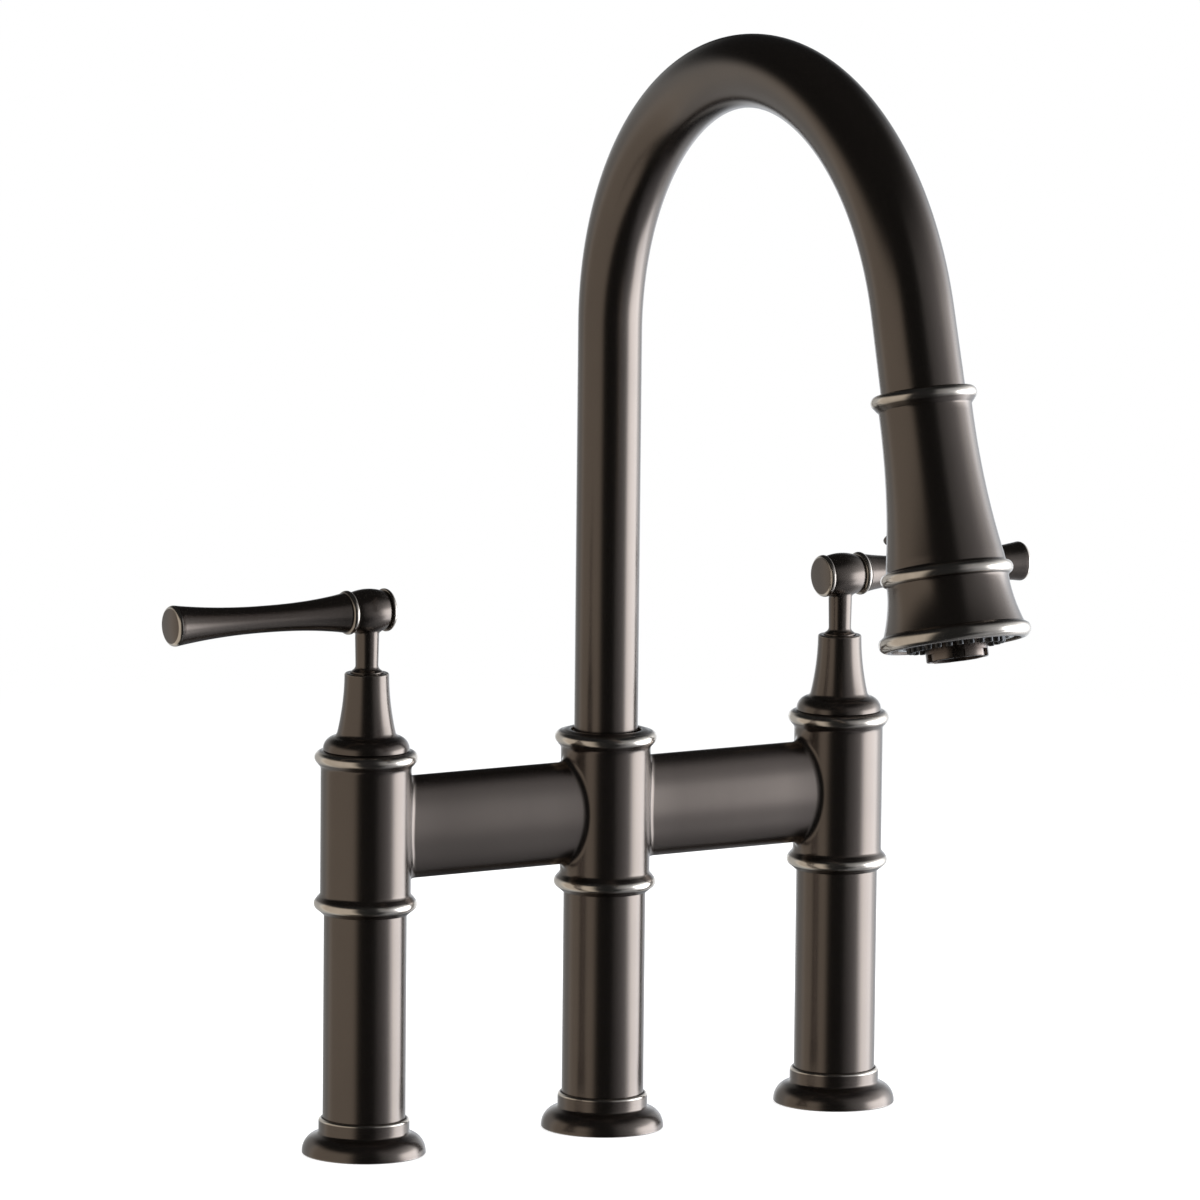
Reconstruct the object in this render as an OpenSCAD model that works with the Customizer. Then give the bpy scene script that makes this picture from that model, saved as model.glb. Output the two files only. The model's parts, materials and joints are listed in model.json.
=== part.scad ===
// Bridge kitchen faucet with two lever valves, a swivelling gooseneck
// and a pull-down spray head.
// The worktop is the plane z = 0, the bridge lies along x, and the spout
// reaches towards -y. The middle leg stands on the origin.

/* [Bridge] */
// Distance between neighbouring leg axes
leg_pitch = 101.6; // [95:0.1:110]
// Height of the arm centre line above the worktop
arm_z = 118.5; // [116.5:0.5:120]
// Height of the oval arms
arm_tall = 37.8; // [32:0.2:39]
// Depth of the oval arms, front to back
arm_deep = 18.8; // [16:0.2:22]
// Water way through the arms
arm_bore_d = 9; // [6:0.5:11]
// Diameter of the three barrels
barrel_d = 33; // [32:0.1:35]
// Diameter over the crest of the barrel beads
bead_d = 37.6; // [36.5:0.1:39]
// Height of the crest of the top bead
top_bead_z = 145.5; // [144:0.1:149]
// Height of the crest of the bottom bead
low_bead_z = 91.9; // [90:0.1:93]

/* [Legs] */
// Outer diameter of the leg tubes
tube_d = 30.2; // [29:0.1:30.8]
// Wall of the leg tubes
tube_wall = 2.2; // [1.6:0.1:2.6]
// How far a leg tube reaches into its barrel
tube_socket = 6.5; // [4:0.5:7]
// Diameter of the base flanges
flange_d = 45.2; // [43:0.2:50]
// Diameter of the collar on a base flange
collar_d = 33.2; // [32.6:0.1:36]
// Height of the top of that collar
collar_z = 13; // [12:0.2:17]
// Height of the shoulder where dome and collar meet
shoulder_z = 8.8; // [8:0.1:10]
// Bore of the side sockets, the minor diameter of a G 1/2 thread
side_socket_d = 18.6; // [17:0.1:20]
// Bore of the middle socket, the minor diameter of an M24 x 1.5 thread
centre_socket_d = 22.4; // [20:0.1:23]
// Depth of the three sockets
socket_depth = 16; // [12:0.5:18]

/* [Valves] */
// Diameter of a valve cartridge
cartridge_d = 18.2; // [17:0.1:19]
// Height of the valve seat
seat_z = 105; // [103:0.5:106]
// Diameter of the valve spindle in its neck
spindle_d = 8; // [7:0.1:8.6]
// Diameter of the spindle end inside the handle
spindle_end_d = 7; // [6:0.1:7.4]
// Diameter of the ceramic discs
disc_d = 14.8; // [13:0.1:15]
// Height of the bonnet above the barrel
bonnet_h = 28; // [27:0.2:31]
// Diameter of the bonnet at its top
bonnet_top_d = 16.2; // [15.4:0.1:18]
// Diameter of the bonnet skirt
bonnet_skirt_d = 31.4; // [31:0.1:32]

/* [Handles] */
// Height of the handle axis
hub_z = 198.8; // [197:0.2:204]
// Largest diameter of the handle hub
hub_d = 16.3; // [15.8:0.1:18]
// Diameter of the post under the hub
post_d = 8.6; // [8:0.1:9.4]
// Diameter of the post's foot, inside the bonnet
foot_d = 11.6; // [11:0.1:12]
// Distance from the valve axis to the tip of the lever
lever_reach = 81.6; // [70:0.2:90]
// Diameter of the lever at its waist
waist_d = 9.7; // [9:0.1:12]
// Diameter of the lever's tip
tip_d = 14.8; // [13:0.1:17]
// Diameter of the ring where lever and hub meet
ring_d = 16; // [15.4:0.1:17]

/* [Spout] */
// Diameter of the upright part of the gooseneck
riser_d = 23.4; // [22.6:0.1:24]
// Diameter of the gooseneck at its outer end
spout_end_d = 29.6; // [28:0.1:29.8]
// Wall of the gooseneck
spout_wall = 1.5; // [1.2:0.1:1.8]
// Height at which the arch begins
arch_z = 296.4; // [290:0.2:330]
// Radius of the arch along its centre line
arch_r = 102; // [100:0.5:115]
// Angle that the arch turns through
arch_angle = 165; // [160:0.5:170]
// Straight run from the arch to the crest of the head's collar
end_run = 30.2; // [27:0.1:36]
// Diameter of the braided hose
hose_d = 11; // [10:0.1:11.4]
// How far the spray head pulls out on its straight stand-in hose
pull_travel = 60; // [40:1:60]

/* [Spray head] */
// Diameter over the top collar
head_collar_d = 37.4; // [36:0.2:39]
// Diameter of the body under that collar
head_neck_d = 32.6; // [32:0.1:34]
// Diameter of the body just above the middle bead
head_low_d = 41.4; // [40:0.2:43]
// Diameter over the middle bead
head_bead_d = 46.4; // [44.8:0.2:48]
// Distance from the collar's crest to the bead's crest
head_bead_s = 61.8; // [60:0.2:64]
// Diameter over the rim
rim_d = 53.4; // [52:0.2:56]
// Distance from the collar's crest to the rim's crest
rim_s = 83.8; // [82.5:0.1:86]
// Number of rubber nozzles
nozzle_count = 26; // [18:1:28]
// Diameter of the circle that the nozzles lie on
nozzle_circle_d = 32; // [31:0.2:33]
// Diameter of a nozzle
nozzle_d = 2.3; // [1.8:0.1:2.6]
// Diameter of the aerator
aerator_d = 21.8; // [20:0.1:22.4]
// How far the aerator stands out of the rim
aerator_out = 4.9; // [3:0.1:6]
// Length of the spray rocker
rocker_len = 36; // [32:0.5:37]
// Width of the spray rocker
rocker_w = 17.4; // [15:0.2:18.4]
// Height of the rocker's two lobes above the body
lobe_h = 3; // [2:0.1:3.4]
// Angle that the rocker turns through
rocker_turn = 16; // [10:0.5:16]
// Inward reach of the rocker's peg from its pin
peg_reach = 4.2; // [4:0.1:4.3]

/* [Fits] */
// Clearance round pieces that are fixed together
fit = 0.1; // [0.05:0.01:0.15]
// Clearance round pieces that turn or slide in each other
run = 0.05; // [0.02:0.01:0.08]
// Air between pieces that move past each other
air = 0.3; // [0.3:0.05:0.5]

/* [Hidden] */

$fn = 96;

STEEL = "#4d453f";
BRASS = "#b59a5c";
RUBBER = "#1b1b1b";
CERAMIC = "#e8e4da";
PLASTIC = "#2b2b2d";
BRIGHT = "#9b9a98";
BRAID = "#6d6a66";

// Seat between flat faces of fixed pieces
seat = 0.05;

// Barrel and its beads
barrel_r = barrel_d / 2;
bead_r = bead_d / 2;
crest_r = 2.3;
crest_x = bead_r - crest_r;
barrel_top = top_bead_z + 2.9;
barrel_low = low_bead_z - 3.6;

// Leg tube, its socket in the barrel and the flange round its foot
tube_r = tube_d / 2;
tube_in_r = tube_r - tube_wall;
tube_top = barrel_low + tube_socket;
socket_flange_h = 2.4;
tube_foot = socket_flange_h + seat;
flange_r = flange_d / 2;
collar_r = collar_d / 2;
flange_inner_wall = 0.9;
seal_ring_w = 2;

// Valve levels, from the seat upwards
cart_r = cartridge_d / 2;
cart_in_r = cart_r - 1.5;
seal_top = seat_z + 2.5;
disc_r = disc_d / 2;
fixed_top = seal_top + 4;
moving_top = fixed_top + 3.6;
foot_top = moving_top + 2.8;
cart_top = seat_z + 30;
neck_r = 6.1;
neck_top = barrel_top - 0.6;
nut_r = 12.4;
nut_ring_r = 13.6;
nut_ring_z = barrel_top - 2.8;
nut_top = barrel_top + 1.9;
spindle_r = spindle_d / 2;
spindle_end_r = spindle_end_d / 2;
bonnet_top = barrel_top + bonnet_h;

// Handle
hub_r = hub_d / 2;
post_r = post_d / 2;
foot_r = foot_d / 2;
foot_z = barrel_top + 3.2;
spindle_top = bonnet_top - 5;
hub_in = 6.0;
hub_out = 6.7;
ring_w = 3.9;
lever_neck_r = ring_d / 2 - 1;
waist_t = lever_reach - 38;
stud_r = 3;
cap_w = 2.5;
cap_r = hub_r - 0.35;
cap_stud_r = 4;
screw_r = 1.5;
screw_z = foot_z + 5;

// Spout
riser_r = riser_d / 2;
riser_in_r = riser_r - spout_wall;
spout_end_r = spout_end_d / 2;
collar_bore_r = riser_r + 1.25;
bush_bore_r = 13;
bush_r = bush_bore_r - run;
web_top = 131;
washer_h = 1.2;
bush_foot = web_top + washer_h + 2 * seat;
riser_foot = barrel_top - 2.4;
spigot_top = riser_foot + 20;
hose_r = hose_d / 2;
hose_way_r = hose_r + 1.8;
guide_r = hose_r + 1.4;
guide_in_r = hose_r + 0.6;
guide_foot = socket_depth + 1;
mix_r = 2.7;
mix_y = (guide_r + tube_in_r) / 2;
chamber_z0 = 112;
chamber_z1 = 128.5;
stop_r = 2;
stop_z = 138.8;
stop_groove_r = 11;

// Sweep of the gooseneck: rings every few degrees, each with this many sides
ring_sides = 36;
arch_steps = 33;
hose_sides = 10;
tube_end_gap = 0.2;

// Spray head, measured along its own axis from the crest of its top collar
head_tilt = 180 - arch_angle;
head_y = -(arch_r * (1 - cos(arch_angle)) + end_run * sin(arch_angle));
head_z = arch_z + arch_r * sin(arch_angle) + end_run * cos(arch_angle);
rim_r = rim_d / 2;
rim_end = rim_s + 3;
face_s = rim_end - 0.6;
shell_in_r = 14.2;
core_r = 12.2;
dock_nose_r = 10.8;
aerator_r = aerator_d / 2;
aerator_end = rim_end + aerator_out;
pin_s = 35;
pin_r = 1.2;
pin_y = -12;
pin_len = rocker_w + 5;
rocker_corner = 7;
window_grow = 2 * air + 1.8;
rocker_rest = rocker_turn / 2;
peg_r = 1.4;
spool_r = 3.4;
spool_y = pin_y + peg_reach + 1.8;
peg_middle = peg_reach - 0.6;
spool_rest = peg_middle * sin(rocker_rest);
coupling_s = 5.4;
flange_s = 7.9;
core_foot = 12;
deck_s = head_bead_s - 0.8;
deck_r = head_low_d / 2 - 3.3;
cone_s = head_bead_s + 3.2;
cone_top = face_s - 12.2;
bezel_in_r = nozzle_circle_d / 2 + 2.6;
bezel_out_r = rim_r - 4 - fit;
plate_in_r = aerator_r + fit;
housing_r = 9.4;

// Points along an arc from angle a to angle b round a centre
function arc(cx, cy, r, a, b, n) =
    [for (i = [0 : n]) let (t = a + (b - a) * i / n) [cx + r * cos(t), cy + r * sin(t)]];

// Points of a solid of revolution moved along its axis
function lift(points, dz) = [for (p = points) [p[0], p[1] + dz]];

module turn(points) {
    rotate_extrude() polygon(points);
}

module tube(r_out, r_in, z0, z1) {
    translate([0, 0, z0])
        difference() {
            cylinder(r = r_out, h = z1 - z0);
            translate([0, 0, -1]) cylinder(r = r_in, h = z1 - z0 + 2);
        }
}

module o_ring(centre_r, thick_r, z) {
    translate([0, 0, z])
        rotate_extrude() translate([centre_r, 0]) circle(r = thick_r, $fn = 24);
}

// A left-hand piece stands on the left leg, a right-hand one is its mirror
module at_left() {
    translate([-leg_pitch, 0, 0]) children();
}

module at_right() {
    mirror([1, 0, 0]) at_left() children();
}

// Outline of a barrel, from the underside of the low bead to the rim on top
barrel_outline = concat(
    [[0, barrel_low], [tube_r + 0.4, barrel_low]],
    arc(crest_x, low_bead_z, crest_r, -52, 48, 8),
    arc(barrel_r + 2.2, low_bead_z + 4.3, 2.2, 235, 180, 4),
    arc(barrel_r + 2.2, top_bead_z - 4.3, 2.2, 180, 125, 4),
    arc(crest_x, top_bead_z, crest_r, -48, 82, 10),
    [[bead_r - 3.4, barrel_top - 0.25], [bead_r - 4.4, barrel_top], [0, barrel_top]]
);

// Bridge: three barrels joined by two oval arms, one casting
module oval_arm() {
    translate([-leg_pitch, 0, arm_z])
        rotate([90, 0, 90])
            linear_extrude(height = 2 * leg_pitch)
                scale([arm_deep / arm_tall, 1]) circle(d = arm_tall);
}

module valve_cavity() {
    translate([0, 0, barrel_low - 1]) cylinder(r = tube_r + fit, h = tube_socket + 1 + seat);
    translate([0, 0, tube_top]) cylinder(r = 5, h = seat_z - tube_top + 1);
    translate([0, 0, seat_z]) cylinder(r = cart_r + fit, h = cart_top - seat_z + 1);
    translate([0, 0, cart_top]) cylinder(r = nut_r + fit, h = barrel_top - cart_top + 1);
    translate([0, 0, nut_ring_z - seat])
        cylinder(r = nut_ring_r + 2 * fit, h = barrel_top - nut_ring_z + 1);
}

module spout_cavity() {
    translate([0, 0, barrel_low - 1]) cylinder(r = tube_r + fit, h = tube_socket + 1 + seat);
    translate([0, 0, chamber_z0]) cylinder(r = guide_r + 5.4, h = chamber_z1 - chamber_z0);
    translate([0, 0, tube_top - 1]) cylinder(r = guide_r + fit, h = web_top - tube_top + 2);
    translate([0, mix_y, tube_top - 1]) cylinder(r = mix_r + fit, h = chamber_z0 - tube_top + 2);
    translate([0, 0, web_top]) cylinder(r = bush_bore_r, h = barrel_top - web_top + 1);
    translate([0, barrel_r + 1, stop_z])
        rotate([90, 0, 0]) cylinder(r = stop_r, h = barrel_r + 1 - bush_bore_r + 1, $fn = 32);
}

module bridge_body() {
    color(STEEL)
        difference() {
            union() {
                for (i = [-1 : 1]) translate([i * leg_pitch, 0, 0]) turn(barrel_outline);
                oval_arm();
            }
            at_left() valve_cavity();
            at_right() valve_cavity();
            spout_cavity();
            translate([-leg_pitch, 0, arm_z])
                rotate([0, 90, 0]) cylinder(d = arm_bore_d, h = leg_pitch - guide_r - 1);
            translate([guide_r + 1, 0, arm_z])
                rotate([0, 90, 0]) cylinder(d = arm_bore_d, h = leg_pitch - guide_r - 1);
        }
}

// Base flange: a domed escutcheon with a collar that holds the leg tube
recess_r = tube_r + fit + flange_inner_wall;
flange_outline = concat(
    [[tube_r + fit, 0], [flange_r - 0.5, 0], [flange_r, 0.8], [flange_r, 1.6]],
    arc(flange_r - 3.6, shoulder_z - 4.4, 2.6, 18, 78, 5),
    arc(collar_r + 1.4, shoulder_z + 0.4, 1.4, 240, 180, 4),
    arc(collar_r - 0.95, collar_z - 0.8, 0.8, 5, 90, 4),
    [[tube_r + 0.6, collar_z], [tube_r + fit, collar_z - 0.5]]
);

module base_flange() {
    color(STEEL)
        difference() {
            turn(flange_outline);
            turn([
                [recess_r, -1], [flange_r - 1.8, -1], [flange_r - 1.8, 2],
                [flange_r - 4.4, shoulder_z - 4], [recess_r, shoulder_z - 4]
            ]);
        }
}

module leg_tube() {
    color(STEEL) tube(tube_r, tube_in_r, tube_foot, tube_top - seat);
}

// Socket: closes the foot of a leg tube and takes the threaded shank
module foot_socket(bore_d, way_r) {
    color(BRASS)
        difference() {
            union() {
                cylinder(r = tube_r - seat, h = socket_flange_h);
                cylinder(r = tube_in_r - fit, h = socket_depth + 8);
            }
            translate([0, 0, -1]) cylinder(d = bore_d, h = socket_depth + 1);
            translate([0, 0, -1]) cylinder(r = way_r, h = socket_depth + 10);
            translate([0, 0, socket_depth + 2]) groove(tube_in_r - fit, 2.3, 2.6);
        }
}

module groove(r, depth, width) {
    difference() {
        cylinder(r = r + 2, h = width);
        translate([0, 0, -1]) cylinder(r = r - depth, h = width + 2);
    }
}

module inlet_socket() {
    foot_socket(side_socket_d, 6);
}

// Middle socket: the hose guide and the mixed-water tube stand in its top
module shank_socket() {
    color(BRASS)
        difference() {
            union() {
                cylinder(r = tube_r - seat, h = socket_flange_h);
                cylinder(r = tube_in_r - fit, h = socket_depth + 8);
            }
            translate([0, 0, -1]) cylinder(d = centre_socket_d, h = socket_depth + 1);
            translate([0, 0, guide_foot]) cylinder(r = guide_r + fit, h = socket_depth);
            translate([0, 0, socket_depth - 1]) cylinder(r = guide_in_r, h = socket_depth);
            translate([0, mix_y, guide_foot]) cylinder(r = mix_r + fit, h = socket_depth);
            translate([0, mix_y, socket_depth - 1]) cylinder(r = mix_r - 0.7, h = socket_depth);
        }
}

module base_seals() {
    color(RUBBER)
        for (i = [-1 : 1])
            translate([i * leg_pitch, 0, 0])
                tube(flange_r - 2.1, flange_r - 2.1 - seal_ring_w, 0.02, 1.9);
}

module socket_o_rings() {
    color(RUBBER)
        for (i = [-1, 1])
            translate([i * leg_pitch, 0, 0])
                o_ring(tube_in_r - 1.15, 1.1, socket_depth + 3.3);
}

// Bonnet: a turned bell that hides the valve, with a dome, a cone and a lip
bonnet_skirt_r = bonnet_skirt_d / 2;
bonnet_top_r = bonnet_top_d / 2;
bonnet_cone_r = bonnet_top_r + 2.6;
bonnet_cone_z = barrel_top + 5.8;
bonnet_outline = concat(
    [[nut_ring_r + fit, barrel_top + seat], [bonnet_skirt_r - 0.3, barrel_top + seat]],
    arc(bonnet_skirt_r - 4.6, barrel_top + 0.6, 4.6, 0, 75, 6),
    [for (i = [0 : 6]) let (u = i / 6, w = pow(1 - u, 1.9))
        [bonnet_top_r + (bonnet_cone_r - bonnet_top_r) * w,
         bonnet_cone_z + (bonnet_top - 0.8 - bonnet_cone_z) * u]],
    arc(bonnet_top_r - 0.8, bonnet_top - 0.8, 0.8, 20, 90, 4),
    [[foot_r + air, bonnet_top], [foot_r + air, bonnet_top - 1.6]],
    [for (i = [6 : -1 : 0]) let (u = i / 6, w = pow(1 - u, 1.9))
        [bonnet_top_r - 1.2 + (bonnet_cone_r - bonnet_top_r) * w,
         bonnet_cone_z + 1 + (bonnet_top - 2.6 - bonnet_cone_z) * u]],
    [[nut_ring_r - 1.4, barrel_top + 3.4], [nut_ring_r + fit, nut_top + 0.4]]
);

module bonnet() {
    color(STEEL) turn(bonnet_outline);
}

// Retaining nut: threads into the barrel, holds the cartridge and the bonnet
module retaining_nut() {
    color(BRASS)
        difference() {
            union() {
                translate([0, 0, cart_top + seat]) cylinder(r = nut_r, h = nut_ring_z - cart_top);
                translate([0, 0, nut_ring_z]) cylinder(r = nut_ring_r, h = nut_top - nut_ring_z);
                translate([0, 0, nut_top - 0.5]) cylinder(r = 9.8, h = 2.1, $fn = 6);
            }
            translate([0, 0, cart_top - 1]) cylinder(r = neck_r + fit, h = 40);
        }
}

// Cartridge body: a cup for the discs under a long neck for the spindle
module cartridge_body() {
    color(BRASS)
        difference() {
            union() {
                translate([0, 0, seat_z + seat]) cylinder(r = cart_r, h = cart_top - seat_z - seat);
                translate([0, 0, cart_top - 1]) cylinder(r = neck_r, h = neck_top - cart_top + 1);
            }
            translate([0, 0, seat_z - 1]) cylinder(r = cart_in_r, h = foot_top + 6 - seat_z + 1);
            translate([0, 0, seat_z]) cylinder(r = spindle_r + run, h = 80);
            for (turn_by = [0, 90])
                rotate([0, 0, turn_by])
                    translate([-cart_r - 1, -3, moving_top + 0.6])
                        cube([2 * cart_r + 2, 6, foot_top + 4 - moving_top]);
        }
}

module seat_seal() {
    color(RUBBER) tube(cart_in_r - fit, 4.6, seat_z + seat, seal_top - seat);
}

// Ceramic discs: two sector ports in each, opened by a quarter turn
module port_sector(z0, h) {
    for (side = [0, 180])
        rotate([0, 0, side])
            translate([0, 0, z0])
                rotate_extrude(angle = 80) translate([2.2, 0]) square([disc_r - 3.6, h]);
}

module fixed_disc() {
    color(CERAMIC)
        difference() {
            translate([0, 0, seal_top]) cylinder(r = disc_r, h = fixed_top - seal_top - run);
            rotate([0, 0, 5]) port_sector(seal_top - 1, 8);
        }
}

module moving_disc() {
    color(CERAMIC)
        difference() {
            translate([0, 0, fixed_top]) cylinder(r = disc_r - run, h = moving_top - fixed_top - run);
            rotate([0, 0, 95]) port_sector(fixed_top - 1, 8);
        }
}

// Spindle: its foot drives the moving disc, its end carries the handle
module spindle() {
    color(BRASS)
        difference() {
            union() {
                translate([0, 0, moving_top]) cylinder(r = disc_r - 0.2, h = foot_top - moving_top);
                translate([0, 0, moving_top]) cylinder(r = spindle_r, h = foot_z - 1.5 - moving_top);
                translate([0, 0, foot_z - 2])
                    cylinder(r = spindle_end_r, h = spindle_top - foot_z + 2);
            }
            rotate([0, 0, 95]) port_sector(moving_top - 1, foot_top - moving_top + 2);
            translate([-5, spindle_end_r - 0.35, foot_z + 2]) cube([10, 5, 8]);
        }
}

// Handle hub: a crowned barrel on a post whose foot takes the spindle
hub_outline = concat(
    [[0, -hub_in], [hub_r - 0.75, -hub_in]],
    [for (i = [0 : 8]) let (u = i / 8)
        [hub_r - 0.55 * pow(2 * u - 1, 2), -hub_in + 0.5 + (hub_in + hub_out - 1) * u]],
    [[hub_r - 0.75, hub_out], [0, hub_out]]
);
post_outline = concat(
    [[0, foot_z], [foot_r - 0.3, foot_z], [foot_r, foot_z + 0.4], [foot_r, bonnet_top + 0.9]],
    arc(post_r + 2.4, bonnet_top + 3.6, 2.4, 240, 180, 5),
    arc(post_r + 1.6, hub_z - hub_r - 0.6, 1.6, 180, 110, 4),
    [[0, hub_z - hub_r + 1.5]]
);

module handle_hub() {
    color(STEEL)
        difference() {
            union() {
                translate([0, 0, hub_z]) rotate([0, 90, 0]) turn(hub_outline);
                turn(post_outline);
            }
            translate([0, 0, foot_z - 1])
                cylinder(r = spindle_end_r + fit, h = spindle_top - foot_z + 1.5);
            translate([0, 0, screw_z])
                rotate([-90, 0, 0]) cylinder(r = screw_r + fit, h = 20, $fn = 32);
            translate([-hub_in - 1, 0, hub_z])
                rotate([0, 90, 0]) cylinder(r = stud_r + fit, h = hub_in + 1.5, $fn = 48);
            translate([hub_out - 3.4, 0, hub_z])
                rotate([0, 90, 0]) cylinder(r = cap_stud_r + fit, h = 10, $fn = 48);
        }
}

// Lever: a ring against the hub, a waisted arm and a flat bevelled tip
lever_start = hub_in + seat;
ring_end = lever_start + ring_w;
tip_r = tip_d / 2;
waist_r = waist_d / 2;
lever_outline = concat(
    [[0, lever_start], [ring_d / 2 - 0.6, lever_start]],
    arc(ring_d / 2 - 1.1, lever_start + 1.2, 1.1, -40, 60, 5),
    [[lever_neck_r + 0.1, ring_end - 0.9]],
    [for (i = [0 : 10]) let (u = 1 - i / 10)
        [waist_r + (lever_neck_r - waist_r) * pow(u, 2.4), waist_t - (waist_t - ring_end) * u]],
    [for (i = [1 : 12]) let (u = i / 12)
        [waist_r + (tip_r - waist_r) * pow(u, 2.05),
         waist_t + (lever_reach - 1.6 - waist_t) * u]],
    [[tip_r - 0.15, lever_reach - 0.7], [tip_r - 0.8, lever_reach], [0, lever_reach]]
);

module lever() {
    color(STEEL)
        translate([0, 0, hub_z])
            rotate([0, -90, 0])
                union() {
                    turn(lever_outline);
                    translate([0, 0, -0.2]) cylinder(r = stud_r, h = lever_start + 1, $fn = 48);
                }
}

// Hub cap: the turned end of the hub, pushed in by its stud
cap_start = hub_out + seat;
cap_outline = concat(
    [[0, cap_start], [cap_r - 0.7, cap_start]],
    arc(cap_r - 0.7, cap_start + 1.1, 0.7, -60, 75, 6),
    [[cap_r - 1.3, cap_start + cap_w - 0.5], [0, cap_start + cap_w - 0.6]]
);

module hub_cap() {
    color(STEEL)
        translate([0, 0, hub_z])
            rotate([0, 90, 0])
                union() {
                    turn(cap_outline);
                    translate([0, 0, hub_out - 3.3]) cylinder(r = cap_stud_r, h = 4, $fn = 48);
                }
}

// Set screw: a short socket screw that bears on the spindle's flat
module set_screw() {
    color(BRIGHT)
        translate([0, spindle_end_r - 0.35 + seat, screw_z])
            rotate([-90, 0, 0])
                difference() {
                    cylinder(r = screw_r, h = foot_r - spindle_end_r + 0.2, $fn = 32);
                    translate([0, 0, 1]) cylinder(r = 0.87, h = 4, $fn = 6);
                }
}

module hose_guide_tube() {
    color(BRASS) tube(guide_r, guide_in_r, guide_foot + seat, web_top - seat);
}

module mixed_water_tube() {
    color(BRASS)
        translate([0, mix_y, 0]) tube(mix_r, mix_r - 0.7, guide_foot + seat, chamber_z0 + 1);
}

module thrust_washer() {
    color(PLASTIC)
        tube(bush_bore_r - fit, hose_way_r + 0.3, web_top + seat, web_top + seat + washer_h);
}

// Stop screw: holds the spout bush down and limits its turn
module spout_stop_screw() {
    color(BRIGHT)
        translate([0, stop_groove_r + air, stop_z])
            rotate([-90, 0, 0])
                difference() {
                    cylinder(r = stop_r - fit, h = barrel_r - stop_groove_r - air - 0.3, $fn = 32);
                    translate([0, 0, 2.6]) cylinder(r = 1.15, h = 6, $fn = 6);
                }
}

// Spout bush: turns in the middle barrel, the gooseneck stands on it
stop_half = asin(stop_r / stop_groove_r) + 1;

module spout_bush() {
    color(BRASS)
        difference() {
            union() {
                translate([0, 0, bush_foot]) cylinder(r = bush_r, h = riser_foot - bush_foot);
                translate([0, 0, bush_foot])
                    cylinder(r = riser_in_r - fit, h = spigot_top - bush_foot);
            }
            translate([0, 0, bush_foot - 1]) cylinder(r = hose_way_r, h = 60);
            for (z = [bush_foot + 1.2, stop_z + 3.6])
                translate([0, 0, z]) groove(bush_r, 2.45, 2.5);
            translate([0, 0, stop_z - stop_r - 0.2])
                rotate([0, 0, -stop_half])
                    rotate_extrude(angle = 180 + 2 * stop_half)
                        translate([stop_groove_r, 0]) square([4, 2 * stop_r + 0.4]);
        }
}

module spout_o_rings() {
    color(RUBBER)
        for (z = [bush_foot + 2.45, stop_z + 4.85]) o_ring(bush_r - 1.2, 1.15, z);
}

// Centre line of the spout: a list of places and directions, worked out from
// the height, radius and angle of the arch, with the straight run after it
function arch_station(a) = [a, -arch_r * (1 - cos(a)), arch_z + arch_r * sin(a)];
function run_station(d) = [
    arch_angle,
    -arch_r * (1 - cos(arch_angle)) - d * sin(arch_angle),
    arch_z + arch_r * sin(arch_angle) + d * cos(arch_angle)
];

// A ring of points round a station, at radius r
function ring_at(station, r, sides) = [
    for (i = [0 : sides - 1]) let (t = 360 * i / sides)
        [r * cos(t),
         station[1] + r * sin(t) * cos(station[0]),
         station[2] + r * sin(t) * sin(station[0])]
];

// Faces that join ring k to ring k + 1, turned outwards
function skin_faces(rings, sides, first) = [
    for (k = [0 : rings - 2]) for (i = [0 : sides - 1])
        let (a = first + k * sides + i,
             b = first + k * sides + (i + 1) % sides)
            for (half = [0, 1])
                half == 0 ? [a, a + sides, b] : [b, a + sides, b + sides]
];

function flipped(faces) = [for (f = faces) [f[2], f[1], f[0]]];

// Faces that close the gap between an outer and an inner ring
function end_faces(outer_first, inner_first, sides) = [
    for (i = [0 : sides - 1]) let (j = (i + 1) % sides) for (half = [0, 1])
        half == 0 ? [outer_first + i, outer_first + j, inner_first + i]
                  : [inner_first + i, outer_first + j, inner_first + j]
];

function disc_faces(first, sides) = [
    for (i = [1 : sides - 2]) [first, first + i, first + i + 1]
];

arch_len = arch_r * arch_angle * PI / 180;
spout_len = arch_len + end_run;

// Radius of the gooseneck: constant up the riser, then an even taper
function spout_r(d) = riser_r + (spout_end_r - riser_r) * max(0, d) / spout_len;

spout_stations = concat(
    [[0, 0, riser_foot + seat, 0], [0, 0, (riser_foot + arch_z) / 2, 0]],
    [for (i = [0 : arch_steps]) let (a = arch_angle * i / arch_steps)
        concat(arch_station(a), [arch_len * i / arch_steps])],
    [concat(run_station(end_run + tube_end_gap), [spout_len])]
);

module gooseneck_tube() {
    n = len(spout_stations);
    outer = [for (s = spout_stations) each ring_at(s, spout_r(s[3]), ring_sides)];
    inner = [for (s = spout_stations) each ring_at(s, spout_r(s[3]) - spout_wall, ring_sides)];
    last = (n - 1) * ring_sides;
    shift = n * ring_sides;
    color(STEEL)
        polyhedron(
            points = concat(outer, inner),
            faces = concat(
                skin_faces(n, ring_sides, 0),
                flipped(skin_faces(n, ring_sides, shift)),
                end_faces(0, shift, ring_sides),
                flipped(end_faces(last, shift + last, ring_sides))
            ),
            convexity = 6
        );
}

// Moves a piece drawn along +z onto the spray head's axis
module on_head_axis() {
    translate([0, head_y, head_z]) rotate([arch_angle, 0, 0]) children();
}

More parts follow.
